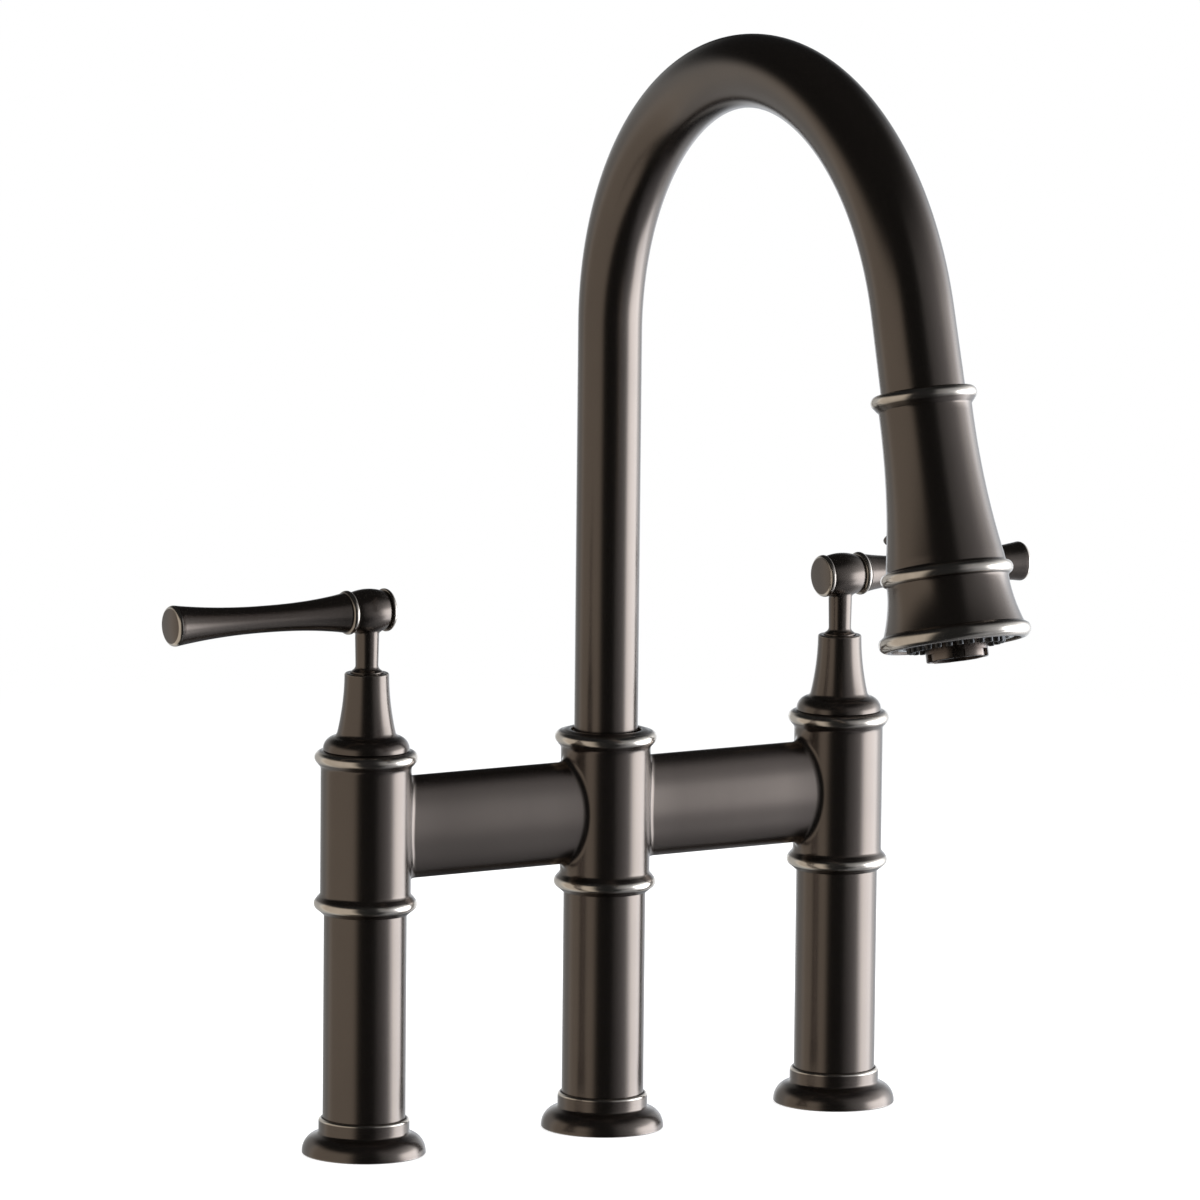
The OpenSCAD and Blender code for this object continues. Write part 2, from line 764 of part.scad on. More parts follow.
// Dock insert: guides the hose and holds the head's collar in place
module dock_insert() {
    r_dock = spout_r(spout_len - 16) - spout_wall - 0.25;
    color(PLASTIC)
        on_head_axis()
            difference() {
                union() {
                    translate([0, 0, -16]) cylinder(r = r_dock, h = 16 + tube_end_gap);
                    cylinder(r1 = dock_nose_r, r2 = dock_nose_r - 0.8, h = 5);
                }
                translate([0, 0, -17]) cylinder(r = hose_r + 1, h = 30);
            }
}

// Hose, as far as the body of the faucet holds it
hose_foot = guide_foot + 12;
hose_stop_angle = arch_angle - (pull_travel - end_run + 4) / arch_r * 180 / PI;
hose_steps = 26;
hose_stations = concat(
    [[0, 0, hose_foot], [0, 0, (hose_foot + arch_z) / 2]],
    [for (i = [0 : hose_steps]) arch_station(hose_stop_angle * i / hose_steps)]
);

module pull_down_hose() {
    n = len(hose_stations);
    last = (n - 1) * hose_sides;
    color(BRAID)
        polyhedron(
            points = [for (s = hose_stations) each ring_at(s, hose_r, hose_sides)],
            faces = concat(
                skin_faces(n, hose_sides, 0),
                disc_faces(0, hose_sides),
                flipped(disc_faces(last, hose_sides))
            ),
            convexity = 6
        );
}

// Fitting on the hose's lower end, where the hose under the worktop joins
module hose_tail_fitting() {
    color(BRASS)
        difference() {
            translate([0, 0, guide_foot - 0.6]) cylinder(r = hose_r + 0.2, h = 12.5);
            translate([0, 0, guide_foot - 2]) cylinder(r = 3.6, h = 30);
            translate([0, 0, guide_foot + 1.2]) groove(hose_r + 0.2, 1.2, 2);
        }
}

// Spray head shell: collar, flaring body, bead, skirt and rolled rim
neck_r_head = head_neck_d / 2;
low_r_head = head_low_d / 2;
bead_r_head = head_bead_d / 2;
flare_end = head_bead_s - 4.6;
collar_round = 2.3;
rim_round = 2.9;
function body_r(s) = neck_r_head
    + (low_r_head - neck_r_head) * pow(max(0, (s - 4.5) / (flare_end - 4.5)), 2.1);
function skirt_r(s) = low_r_head + 0.6
    + (rim_r - 2.7 - low_r_head) * pow((s - head_bead_s - 3.4) / (rim_s - head_bead_s - 6), 1.7);
shell_outline = concat(
    [[spout_end_r + 0.45, 0.6], [spout_end_r + 0.45, -2.3]],
    arc(head_collar_d / 2 - collar_round, 0, collar_round, -85, 50, 9),
    arc(neck_r_head + 1.3, 4.2, 1.3, 235, 185, 4),
    [for (i = [1 : 16]) let (s = 4.5 + (flare_end - 4.5) * i / 16) [body_r(s), s]],
    arc(bead_r_head - 2.4, head_bead_s, 2.4, -55, 60, 8),
    [for (i = [0 : 8]) let (s = head_bead_s + 3.4 + (rim_s - head_bead_s - 6) * i / 8)
        [skirt_r(s), s]],
    arc(rim_r - rim_round, rim_s, rim_round, -35, 90, 9),
    [[rim_r - 4, rim_end - 0.4], [rim_r - 4, face_s - 3.2], [rim_r - 5.4, face_s - 3.2],
     [rim_r - 5.4, rim_s - 8], [deck_r + 1.6, head_bead_s + 5], [deck_r + 0.3, deck_s - 0.4],
     [shell_in_r + 0.6, flare_end], [shell_in_r, flare_end - 12], [shell_in_r, flange_s - 0.1],
     [dock_nose_r + 0.3, flange_s - 0.3], [dock_nose_r + 0.3, 0.6]]
);

module head_shell() {
    color(STEEL)
        on_head_axis()
            difference() {
                turn(shell_outline);
                translate([0, -9.5, pin_s]) rocker_plan(2 * air, window_grow, 30);
                translate([0, pin_y, pin_s])
                    rotate([0, 90, 0])
                        cylinder(r = pin_r + run, h = pin_len + 0.4, center = true, $fn = 32);
            }
}

// Straight stand-in for the hose that runs out with the head
module head_hose() {
    color(BRAID)
        on_head_axis()
            translate([0, 0, -pull_travel]) cylinder(r = hose_r, h = pull_travel + 7, $fn = 48);
}

module hose_coupling() {
    color(BRASS)
        on_head_axis()
            difference() {
                union() {
                    translate([0, 0, flange_s])
                        cylinder(r = core_r + 0.9, h = core_foot - 0.2 - flange_s);
                    translate([0, 0, coupling_s]) cylinder(r = 8.4, h = 5);
                    translate([0, 0, 11]) cylinder(r = 6.6, h = 7);
                }
                translate([0, 0, 2]) cylinder(r = hose_r + fit, h = 5.1);
                translate([0, 0, 5]) cylinder(r = 3.6, h = 20);
                translate([0, 0, 13]) cylinder(r = 4.6, h = 10);
            }
}

module check_valve() {
    color(PLASTIC)
        on_head_axis()
            difference() {
                translate([0, 0, 13.1]) cylinder(r = 4.5, h = 4.8);
                for (a = [0 : 90 : 270])
                    rotate([0, 0, a]) translate([2.6, 0, 12]) cylinder(r = 1.1, h = 8, $fn = 24);
            }
}

// Waterway core: carries the water past the diverter to the face
module waterway_core() {
    color(PLASTIC)
        on_head_axis()
            difference() {
                union() {
                    translate([0, 0, core_foot]) cylinder(r = core_r, h = deck_s + 1 - core_foot);
                    translate([0, 0, deck_s]) cylinder(r = deck_r, h = cone_s - deck_s + 0.6);
                    translate([0, 0, cone_s])
                        cylinder(r1 = deck_r, r2 = bezel_in_r, h = cone_top - cone_s);
                }
                translate([0, 0, core_foot - 1]) cylinder(r = 6.7, h = 7.1);
                translate([0, 3.2, core_foot + 3]) cylinder(r = 3.4, h = cone_top);
                translate([0, spool_y, pin_s - 11]) cylinder(r = spool_r + run, h = 26);
                translate([-peg_r - 0.6, -core_r - 1, pin_s - 4])
                    cube([2 * peg_r + 1.2, core_r + 1 + spool_y, 8]);
                translate([0, pin_y, pin_s])
                    rotate([0, 90, 0]) cylinder(r = 3.2, h = 30, center = true, $fn = 32);
                translate([0, 0, cone_top - 4]) cylinder(r = housing_r + 2 * fit, h = 10);
                translate([-4, -3, cone_top - 8]) cube([8, 9, 8]);
            }
}

// Diverter spool: the rocker's peg slides it to send water to stream or spray
module diverter_spool() {
    color(BRASS)
        on_head_axis()
            translate([0, spool_y, pin_s + spool_rest])
                difference() {
                    translate([0, 0, -9]) cylinder(r = spool_r, h = 20);
                    translate([0, 0, -peg_r - 0.25]) groove(spool_r, 1.7, 2 * peg_r + 0.5);
                    translate([0, 0, 6]) cylinder(r = 1.8, h = 8, $fn = 32);
                }
}

// Spray rocker: two raised lobes, one pressed in at a time, with an inner peg
module rocker_plan(grow_w, grow_len, depth) {
    w = rocker_w + grow_w;
    l = rocker_len + grow_len;
    c = rocker_corner;
    rotate([90, 0, 0])
        linear_extrude(height = depth)
            union() {
                square([w, l - 2 * c], center = true);
                square([w - 2 * c, l], center = true);
                for (x = [c - w / 2, w / 2 - c], z = [c - l / 2, l / 2 - c])
                    translate([x, z]) circle(r = c, $fn = 48);
            }
}

rocker_slope = (body_r(pin_s + rocker_len / 2) - body_r(pin_s - rocker_len / 2)) / rocker_len;
lobe_at = rocker_len / 3;
lobe_drop = lobe_h + 0.06;
rocker_skirt = rocker_len / 9;
function lobe(a) = a < lobe_at
    ? 0.4 + (lobe_h - 0.4) * (1 - cos(180 * a / lobe_at)) / 2
    : lobe_h - lobe_drop * pow((a - lobe_at) / (rocker_len / 2 - lobe_at), 2);
function rocker_top(v) = body_r(pin_s) + rocker_slope * v + pin_y + lobe(abs(v));
rocker_outline = concat(
    [for (i = [0 : 36]) let (v = -rocker_len / 2 + rocker_len * i / 36) [v, rocker_top(v)]],
    [[rocker_len / 2, 3.3], [4, 3.3], [2.3, 0]],
    arc(0, 0, 2.3, -10, -170, 8),
    [[-2.3, 0], [-4, 3.3], [-rocker_len / 2, 3.3]]
);

module spray_rocker() {
    color(STEEL)
        on_head_axis()
            translate([0, pin_y, pin_s])
                rotate([rocker_rest, 0, 0])
                    difference() {
                        union() {
                            intersection() {
                                rotate([90, 0, 90])
                                    linear_extrude(height = rocker_w + 2, center = true)
                                        polygon([for (p = rocker_outline) [-p[1], p[0]]]);
                                translate([0, rocker_skirt, 0]) rocker_plan(0, 0, 4 * rocker_skirt);
                            }
                            rotate([-90, 0, 0]) cylinder(r = peg_r, h = peg_reach, $fn = 32);
                        }
                        rotate([0, 90, 0])
                            cylinder(r = pin_r + run, h = rocker_w + 2, center = true, $fn = 32);
                    }
}

module rocker_pin() {
    color(BRIGHT)
        on_head_axis()
            translate([0, pin_y, pin_s])
                rotate([0, 90, 0]) cylinder(r = pin_r, h = pin_len, center = true, $fn = 32);
}

// Spray face: a bright bezel, a rubber plate with nozzles and the aerator
module face_bezel() {
    color(BRIGHT)
        on_head_axis()
            turn([
                [bezel_in_r, face_s - 3], [bezel_out_r, face_s - 3], [bezel_out_r, face_s - 1.4],
                [bezel_in_r + 1.6, face_s], [bezel_in_r, face_s]
            ]);
}

module nozzle_plate() {
    color(RUBBER)
        on_head_axis() {
            tube(bezel_in_r - fit, plate_in_r, face_s - 6, face_s - 0.4);
            for (i = [0 : nozzle_count - 1])
                rotate([0, 0, 360 * (i + 0.5) / nozzle_count])
                    translate([nozzle_circle_d / 2, 0, face_s - 1])
                        cylinder(r1 = nozzle_d / 2, r2 = nozzle_d / 2 - 0.25, h = 3.1, $fn = 24);
        }
}

// Aerator housing: screws into the core, with key notches round its mouth
module aerator_housing() {
    color(PLASTIC)
        on_head_axis()
            difference() {
                union() {
                    translate([0, 0, cone_top - 3.9]) cylinder(r = housing_r, h = 8);
                    translate([0, 0, cone_top + 0.1])
                        cylinder(r = aerator_r, h = aerator_end - cone_top - 0.1);
                }
                translate([0, 0, cone_top - 5]) cylinder(r = housing_r - 1.8, h = 10);
                translate([0, 0, cone_top + 4]) cylinder(r = aerator_r - 1.6, h = 20);
                for (i = [0 : 5])
                    rotate([0, 0, 60 * i])
                        translate([aerator_r - 0.9, -2.2, aerator_end - 2.6]) cube([3, 4.4, 4]);
            }
}

// Aerator insert: a cellular screen across the stream
module aerator_insert() {
    r_in = aerator_r - 1.6 - fit;
    color(PLASTIC)
        on_head_axis()
            translate([0, 0, aerator_end - 6])
                difference() {
                    cylinder(r = r_in, h = 4.6);
                    for (ring = [1 : 3])
                        for (k = [0 : 6 * ring - 1])
                            rotate([0, 0, 60 * k / ring])
                                translate([2.45 * ring, 0, -1]) cylinder(r = 0.95, h = 8, $fn = 6);
                    translate([0, 0, -1]) cylinder(r = 0.95, h = 8, $fn = 6);
                }
}

bridge_body();
at_left() base_flange();  // left_base_flange
base_flange();  // centre_base_flange
at_right() base_flange();  // right_base_flange
at_left() leg_tube();  // left_leg_tube
leg_tube();  // centre_leg_tube
at_right() leg_tube();  // right_leg_tube
at_left() inlet_socket();  // left_inlet_socket
shank_socket();  // centre_shank_socket
at_right() inlet_socket();  // right_inlet_socket
base_seals();
socket_o_rings();
at_left() bonnet();  // left_bonnet
at_right() bonnet();  // right_bonnet
at_left() retaining_nut();  // left_retaining_nut
at_right() retaining_nut();  // right_retaining_nut
at_left() cartridge_body();  // left_cartridge_body
at_right() cartridge_body();  // right_cartridge_body
at_left() seat_seal();  // left_seat_seal
at_right() seat_seal();  // right_seat_seal
at_left() fixed_disc();  // left_fixed_disc
at_right() fixed_disc();  // right_fixed_disc
at_left() moving_disc();  // left_moving_disc
at_right() moving_disc();  // right_moving_disc
at_left() spindle();  // left_spindle
at_right() spindle();  // right_spindle
at_left() handle_hub();  // left_handle_hub
at_right() handle_hub();  // right_handle_hub
at_left() lever();  // left_lever
at_right() lever();  // right_lever
at_left() hub_cap();  // left_hub_cap
at_right() hub_cap();  // right_hub_cap
at_left() set_screw();  // left_set_screw
at_right() set_screw();  // right_set_screw
hose_guide_tube();
mixed_water_tube();
spout_stop_screw();
thrust_washer();
spout_bush();
spout_o_rings();
gooseneck_tube();
dock_insert();
pull_down_hose();
hose_tail_fitting();
head_shell();
head_hose();
hose_coupling();
check_valve();
waterway_core();
diverter_spool();
spray_rocker();
rocker_pin();
face_bezel();
nozzle_plate();
aerator_housing();
aerator_insert();
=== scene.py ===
"""Bridge kitchen faucet: the visual model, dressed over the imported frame.

Sizes are in millimetres in the classes and turned to metres when a mesh is made. The worktop
is z = 0, the bridge lies along x and the spout reaches towards -y.
"""

import json
import logging
import math
from collections.abc import Callable, Sequence
from dataclasses import dataclass, field
from enum import Enum
from typing import Any

import bmesh
import bpy
from mathutils import Matrix, Vector


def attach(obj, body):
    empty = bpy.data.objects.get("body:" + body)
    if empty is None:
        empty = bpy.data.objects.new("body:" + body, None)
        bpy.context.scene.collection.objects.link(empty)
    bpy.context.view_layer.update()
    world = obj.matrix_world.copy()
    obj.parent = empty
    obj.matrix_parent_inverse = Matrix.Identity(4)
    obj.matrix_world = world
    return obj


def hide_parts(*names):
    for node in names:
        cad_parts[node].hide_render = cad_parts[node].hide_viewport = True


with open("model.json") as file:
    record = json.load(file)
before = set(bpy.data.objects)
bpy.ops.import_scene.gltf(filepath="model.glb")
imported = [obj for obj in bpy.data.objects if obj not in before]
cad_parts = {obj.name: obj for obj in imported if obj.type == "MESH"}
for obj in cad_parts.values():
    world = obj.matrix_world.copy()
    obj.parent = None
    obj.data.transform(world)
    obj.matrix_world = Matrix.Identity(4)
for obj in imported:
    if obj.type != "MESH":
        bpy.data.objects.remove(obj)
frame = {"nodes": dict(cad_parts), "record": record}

LOG = logging.getLogger("faucet")
MM = 0.001
# points round a turned piece, and the angle in degrees over which its edges stay sharp
ROUND = 144
SHARP = 32.0
# a stop nearer the axis than this is a pole, and points nearer than this are one, in mm
ON_AXIS = 1e-6
SAME_POINT = 1e-4
WHITE = (1, 1, 1, 1)
Settings = dict[str, Any]
Inputs = dict[str | int, Any]
Tree = bpy.types.NodeTree
Socket = bpy.types.NodeSocket


# ------------------------------------------------------------------ small helpers


def linear(code: str) -> tuple[float, float, float, float]:
    """Turns an sRGB hex colour into linear values.

    Args:
        code: Six hex digits after a hash sign.

    Returns:
        Red, green, blue and an alpha of 1.
    """
    parts = [int(code[i:i + 2], 16) / 255 for i in (1, 3, 5)]
    parts = [p / 12.92 if p <= 0.04045 else ((p + 0.055) / 1.055) ** 2.4 for p in parts]
    return (parts[0], parts[1], parts[2], 1.0)


def fill(tree: Tree, node: bpy.types.Node, inputs: Inputs) -> None:
    """Gives a node its inputs, by name or number: a socket is linked and a value is set.

    Args:
        tree: The node's tree.
        node: The node that gets the inputs.
        inputs: For each input, a socket to link or a value to set.
    """
    for key, value in inputs.items():
        if isinstance(value, Socket):
            tree.links.new(value, node.inputs[key])
        else:
            node.inputs[key].default_value = value


def add_node(tree: Tree, kind: str, settings: Settings | None = None,
             inputs: Inputs | None = None) -> bpy.types.Node:
    """Adds one node with its settings, fixed values and links.

    Args:
        tree: The tree that gets the node.
        kind: The node's type name.
        settings: Properties of the node.
        inputs: For each input, by name or number, a socket to link or a value to set.

    Returns:
        The new node.
    """
    node = tree.nodes.new(kind)
    for key, value in (settings or {}).items():
        setattr(node, key, value)
    fill(tree, node, inputs or {})
    return node


def math_node(tree: Tree, operation: str, *values: Any) -> Socket:
    """Adds a Math node and gives its result."""
    node = add_node(tree, "ShaderNodeMath", {"operation": operation}, dict(enumerate(values)))
    return node.outputs[0]


def vector_node(tree: Tree, operation: str, one: Any, two: Any) -> Socket:
    """Adds a Vector Math node and gives its result; SCALE takes its factor as the second value.

    Args:
        tree: The tree that gets the node.
        operation: What it does.
        one: The first vector.
        two: The second vector, or the factor.

    Returns:
        The result.
    """
    second = "Scale" if operation == "SCALE" else 1
    return add_node(tree, "ShaderNodeVectorMath", {"operation": operation},
                    {0: one, second: two}).outputs[0]


def object_place(tree: Tree) -> Socket:
    """Gives the place that is shaded, in the object's own coordinates."""
    return add_node(tree, "ShaderNodeTexCoord").outputs["Object"]


def blank_tree(owner: Any) -> Tree:
    """Gives the tree of a material or a world, emptied.

    Args:
        owner: The material or the world.

    Returns:
        Its tree.
    """
    owner.use_nodes = True
    owner.node_tree.nodes.clear()
    return owner.node_tree


def new_object(name: str, data: Any) -> bpy.types.Object:
    """Makes an object of some data and links it to the scene.

    Args:
        name: Its name.
        data: Its mesh, camera or lamp.

    Returns:
        The object.
    """
    thing = bpy.data.objects.new(name, data)
    bpy.context.scene.collection.objects.link(thing)
    return thing


def discard(thing: bpy.types.Object) -> None:
    """Deletes a working object together with its mesh.

    Args:
        thing: The object.
    """
    mesh = thing.data
    bpy.data.objects.remove(thing)
    bpy.data.meshes.remove(mesh)


def placed(spot: Sequence[float], degrees: float, axis: str) -> Matrix:
    """Gives the place of a piece that is turned about an axis and then moved to a spot."""
    return Matrix.Translation(spot) @ Matrix.Rotation(math.radians(degrees), 4, axis)


# ------------------------------------------------------------------ outlines


@dataclass(frozen=True)
class Stop:
    """One point of a turned outline.

    rub says how far the antique coating is rubbed back to bright metal there, from 0 to 1.
    """

    r: float
    z: float
    rub: float = 0.0


Outline = list[Stop]


def arc(r: float, z: float, radius: float, start: float, end: float, steps: int,
        rub: float = 0.0) -> Outline:
    """Gives the stops of an arc, from one angle to another in degrees.

    Args:
        r: Radius at which the arc's centre lies.
        z: Height of the arc's centre.
        radius: Radius of the arc.
        start: Angle of its first point, 0 facing outwards and 90 facing up.
        end: Angle of its last point.
        steps: Number of its chords.
        rub: How far its middle is rubbed bright.

    Returns:
        The stops in order.
    """
    stops = []
    for i in range(steps + 1):
        t = i / steps
        a = math.radians(start + (end - start) * t)
        fade = 1 - abs(2 * t - 1) ** 4
        stops.append(Stop(r + radius * math.cos(a), z + radius * math.sin(a), rub * fade))
    return stops


def curve(count: int, place: Callable[[float], tuple[float, float]],
          rub: float = 0.0) -> Outline:
    """Gives count + 1 stops of a curve whose radius and height follow from 0 to 1."""
    return [Stop(*place(i / count), rub) for i in range(count + 1)]


# ------------------------------------------------------------------ meshes


class Shape:
    """A mesh in the making, in millimetres, with the attributes that the steel finish reads.

    along is the distance along the axis that a piece was turned or swept about, in mm, and
    rubbed is how far its coating is rubbed back.
    """

    def __init__(self) -> None:
        """Starts an empty mesh."""
        self.mesh = bmesh.new()
        self.along = self.mesh.verts.layers.float.new("along")
        self.rubbed = self.mesh.verts.layers.float.new("rubbed")

    @classmethod
    def from_mesh(cls, mesh: bpy.types.Mesh) -> "Shape":
        """Takes over a finished mesh with its attributes, and deletes the mesh.

        Args:
            mesh: The finished mesh.

        Returns:
            The shape.
        """
        shape = cls.__new__(cls)
        shape.mesh = bmesh.new()
        shape.mesh.from_mesh(mesh)
        layers = shape.mesh.verts.layers.float
        shape.along = layers.get("along") or layers.new("along")
        shape.rubbed = layers.get("rubbed") or layers.new("rubbed")
        bpy.data.meshes.remove(mesh)
        return shape

    def point(self, place: Vector, along: float, rub: float = 0.0) -> bmesh.types.BMVert:
        """Adds a point with its attributes.

        Args:
            place: Where it is.
            along: Distance along the axis of turning, in mm.
            rub: How far the coating is rubbed back.

        Returns:
            The point.
        """
        vert = self.mesh.verts.new(place)
        vert[self.along] = along
        vert[self.rubbed] = rub
        return vert

    def skin(self, rings: Sequence[Sequence[bmesh.types.BMVert]], closed: bool = False) -> None:
        """Joins rings of points with faces; a ring of one point is a pole.

        Args:
            rings: The rings, each with as many points as the others, or one.
            closed: Whether the last ring joins the first.
        """
        pairs = list(zip(rings, rings[1:]))
        if closed:
            pairs.append((rings[-1], rings[0]))
        for one, two in pairs:
            n = max(len(one), len(two))
            if n == 1:
                continue
            for i in range(n):
                j = (i + 1) % n
                corners = [one[i % len(one)], one[j % len(one)],
                           two[j % len(two)], two[i % len(two)]]
                seen = list(dict.fromkeys(corners))
                if len(seen) > 2:
                    self.mesh.faces.new(seen)

    def turn(self, outline: Outline, place: Matrix = Matrix.Identity(4), segments: int = ROUND,
             angles: Sequence[float] | None = None,
             dent: Callable[[float, float, float], float] | None = None) -> "Shape":
        """Turns an outline about z; it closes on itself, or on the axis.

        Args:
            outline: The stops in order.
            place: Where the turned piece goes.
            segments: Points round the axis.
            angles: Their angles in degrees, where they aren't even.
            dent: Gives the radius for a stop's radius, its height and an angle.

        Returns:
            The shape itself.
        """
        angles = angles or [360 * i / segments for i in range(segments)]
        rings = []
        for stop in outline:
            if stop.r < ON_AXIS:
                rings.append([self.point(place @ Vector((0, 0, stop.z)), stop.z, stop.rub)])
                continue
            ring = []
            for a in angles:
                r = dent(stop.r, stop.z, a) if dent else stop.r
                t = math.radians(a)
                spot = Vector((r * math.cos(t), r * math.sin(t), stop.z))
                ring.append(self.point(place @ spot, stop.z, stop.rub))
            rings.append(ring)
        self.skin(rings, closed=True)
        return self

    def add(self, other: "Shape", place: Matrix = Matrix.Identity(4)) -> "Shape":
        """Adds a copy of another shape, moved, and gives the shape itself.

        Args:
            other: The shape that is copied.
            place: Where the copy goes.

        Returns:
            The shape itself.
        """
        twins = {v: self.point(place @ v.co, v[other.along], v[other.rubbed])
                 for v in other.mesh.verts}
        for face in other.mesh.faces:
            self.mesh.faces.new([twins[v] for v in face.verts])
        return self

    def cut(self, tool: "Shape") -> "Shape":
        """Cuts another closed shape out of this one and gives the result as a new shape.

        Args:
            tool: The shape that is cut out.

        Returns:
            What is left.
        """
        body, knife = self.holder("cut_body"), tool.holder("cut_tool")
        modifier = body.modifiers.new("cut", "BOOLEAN")
        modifier.operation = "DIFFERENCE"
        modifier.solver = "EXACT"
        modifier.object = knife
        mesh = evaluated_mesh(body)
        discard(body)
        discard(knife)
        return Shape.from_mesh(mesh)

    def tidy(self) -> None:
        """Merges doubles and turns every face outwards."""
        bmesh.ops.remove_doubles(self.mesh, verts=self.mesh.verts, dist=SAME_POINT)
        bmesh.ops.recalc_face_normals(self.mesh, faces=self.mesh.faces)

    def holder(self, name: str, scale: float = 1.0) -> bpy.types.Object:
        """Makes a linked object of the shape, at the given scale.

        Args:
            name: Its name.
            scale: The scale; 1 leaves it in the shape's own units.

        Returns:
            The object.
        """
        self.tidy()
        mesh = bpy.data.meshes.new(name)
        work = self.mesh.copy()
        work.transform(Matrix.Scale(scale, 4))
        work.to_mesh(mesh)
        work.free()
        return new_object(name, mesh)

    def finish(self, name: str, material: bpy.types.Material,
               sharp: float = SHARP) -> bpy.types.Object:
        """Makes the finished object in metres, shaded smooth but for its edges.

        Args:
            name: The object's name.
            material: Its finish.
            sharp: The angle in degrees over which an edge stays sharp.

        Returns:
            The object.
        """
        thing = self.holder(name, MM)
        thing.data.materials.append(material)
        thing.data.shade_smooth()
        thing.data.set_sharp_from_angle(angle=math.radians(sharp))
        self.mesh.free()
        return thing


def evaluated_mesh(thing: bpy.types.Object) -> bpy.types.Mesh:
    """Gives the mesh that an object's modifiers make, as a new mesh.

    Args:
        thing: The object.

    Returns:
        The mesh.
    """
    bpy.context.view_layer.update()
    graph = bpy.context.evaluated_depsgraph_get()
    return bpy.data.meshes.new_from_object(
        thing.evaluated_get(graph), preserve_all_data_layers=True, depsgraph=graph)


def rounded_plan(width: float, length: float, corner: float,
                 per_corner: int = 10) -> list[tuple[float, float]]:
    """Gives the points of a rectangle with rounded corners, in order.

    Args:
        width: Its whole width.
        length: Its whole length.
        corner: Radius of its corners.
        per_corner: Chords in each corner.

    Returns:
        The points, starting at the far end of the right-hand side.
    """
    points = []
    for k, (sx, sz) in enumerate(((1, 1), (-1, 1), (-1, -1), (1, -1))):
        for i in range(per_corner + 1):
            a = math.radians(90 * k + 90 * i / per_corner)
            points.append((sx * (width / 2 - corner) + corner * math.cos(a),
                           sz * (length / 2 - corner) + corner * math.sin(a)))
    return points


# ------------------------------------------------------------------ geometry trees


class GeometryTree:
    """A Geometry Nodes tree with named inputs, whose result is taken as a plain mesh."""

    def __init__(self, name: str, inputs: dict[str, str]) -> None:
        """Starts the tree.

        Args:
            name: Its name.
            inputs: The kind of each named input: FLOAT, INT, OBJECT or MATERIAL.
        """
        kinds = {"FLOAT": "NodeSocketFloat", "INT": "NodeSocketInt",
                 "OBJECT": "NodeSocketObject", "MATERIAL": "NodeSocketMaterial"}
        self.tree = bpy.data.node_groups.new(name, "GeometryNodeTree")
        face = self.tree.interface
        face.new_socket("Geometry", in_out="INPUT", socket_type="NodeSocketGeometry")
        face.new_socket("Geometry", in_out="OUTPUT", socket_type="NodeSocketGeometry")
        for key, kind in inputs.items():
            face.new_socket(key, in_out="INPUT", socket_type=kinds[kind])
        self.source = self.tree.nodes.new("NodeGroupInput")

    def __getitem__(self, key: str) -> Socket:
        """Gives the socket of a named input."""
        return self.source.outputs[key]

    def node(self, kind: str, settings: Settings | None = None,
             inputs: Inputs | None = None) -> bpy.types.Node:
        """Adds one node to the tree."""
        return add_node(self.tree, kind, settings, inputs)

    def calc(self, operation: str, *values: Any) -> Socket:
        """Adds a Math node and gives its result."""
        return math_node(self.tree, operation, *values)

    def about_z(self, angle: Socket) -> Socket:
        """Gives the rotation by an angle about z."""
        return self.node("FunctionNodeAxisAngleToRotation", None,
                         {"Axis": (0, 0, 1), "Angle": angle}).outputs[0]

    def even_angle(self, count: Socket) -> Socket:
        """Gives each point its angle on an even ring of so many points."""
        index = self.node("GeometryNodeInputIndex").outputs[0]
        return self.calc("MULTIPLY", index, self.calc("DIVIDE", 2 * math.pi, count))

    def pattern(self) -> Socket:
        """Gives the object of the input named Shape, ready to be copied."""
        return self.node("GeometryNodeObjectInfo", None,
                         {"Object": self["Shape"], "As Instance": True}).outputs["Geometry"]

    def copies(self, points: Socket, shape: Socket, **turned: Socket) -> Socket:
        """Sets a copy of a shape on each point, turned where a Rotation is given."""
        return self.node("GeometryNodeInstanceOnPoints", None,
                         {"Points": points, "Instance": shape, **turned}).outputs[0]

    def close(self, geometry: Socket) -> None:
        """Ends the tree: instances are made real and the material is set.

        Args:
            geometry: The tree's result.
        """
        real = self.node("GeometryNodeRealizeInstances", None, {"Geometry": geometry})
        dressed = self.node("GeometryNodeSetMaterial", None,
                            {"Geometry": real.outputs[0], "Material": self["Material"]})
        self.node("NodeGroupOutput", None, {0: dressed.outputs[0]})

    def build(self, values: dict[str, Any], points: Sequence[Vector] = ()) -> Shape:
        """Runs the tree once and takes its result.

        Args:
            values: The value of each named input.
            points: Points that the tree starts from, in mm.

        Returns:
            The result as a shape.
        """
        mesh = bpy.data.meshes.new(self.tree.name)
        mesh.from_pydata([tuple(p) for p in points], [], [])
        holder = new_object(self.tree.name, mesh)
        modifier = holder.modifiers.new("shape", "NODES")
        modifier.node_group = self.tree
        names = {item.name: item.identifier for item in self.tree.interface.items_tree
                 if item.item_type == "SOCKET" and item.in_out == "INPUT"}
        for key, value in values.items():
            modifier[names[key]] = value
        result = evaluated_mesh(holder)
        holder.modifiers.remove(modifier)
        discard(holder)
        return Shape.from_mesh(result)

    def build_copies(self, shape: Shape, values: dict[str, Any],
                     points: Sequence[Vector] = ()) -> Shape:
        """Runs a tree that copies a shape, and deletes the pattern piece afterwards.

        Args:
            shape: The shape that is copied.
            values: The values of the other inputs.
            points: Points that the tree starts from, in mm.

        Returns:
            The copies as one shape.
        """
        pattern = shape.holder("pattern_piece")
        result = self.build({"Shape": pattern, **values}, points)
        discard(pattern)
        return result


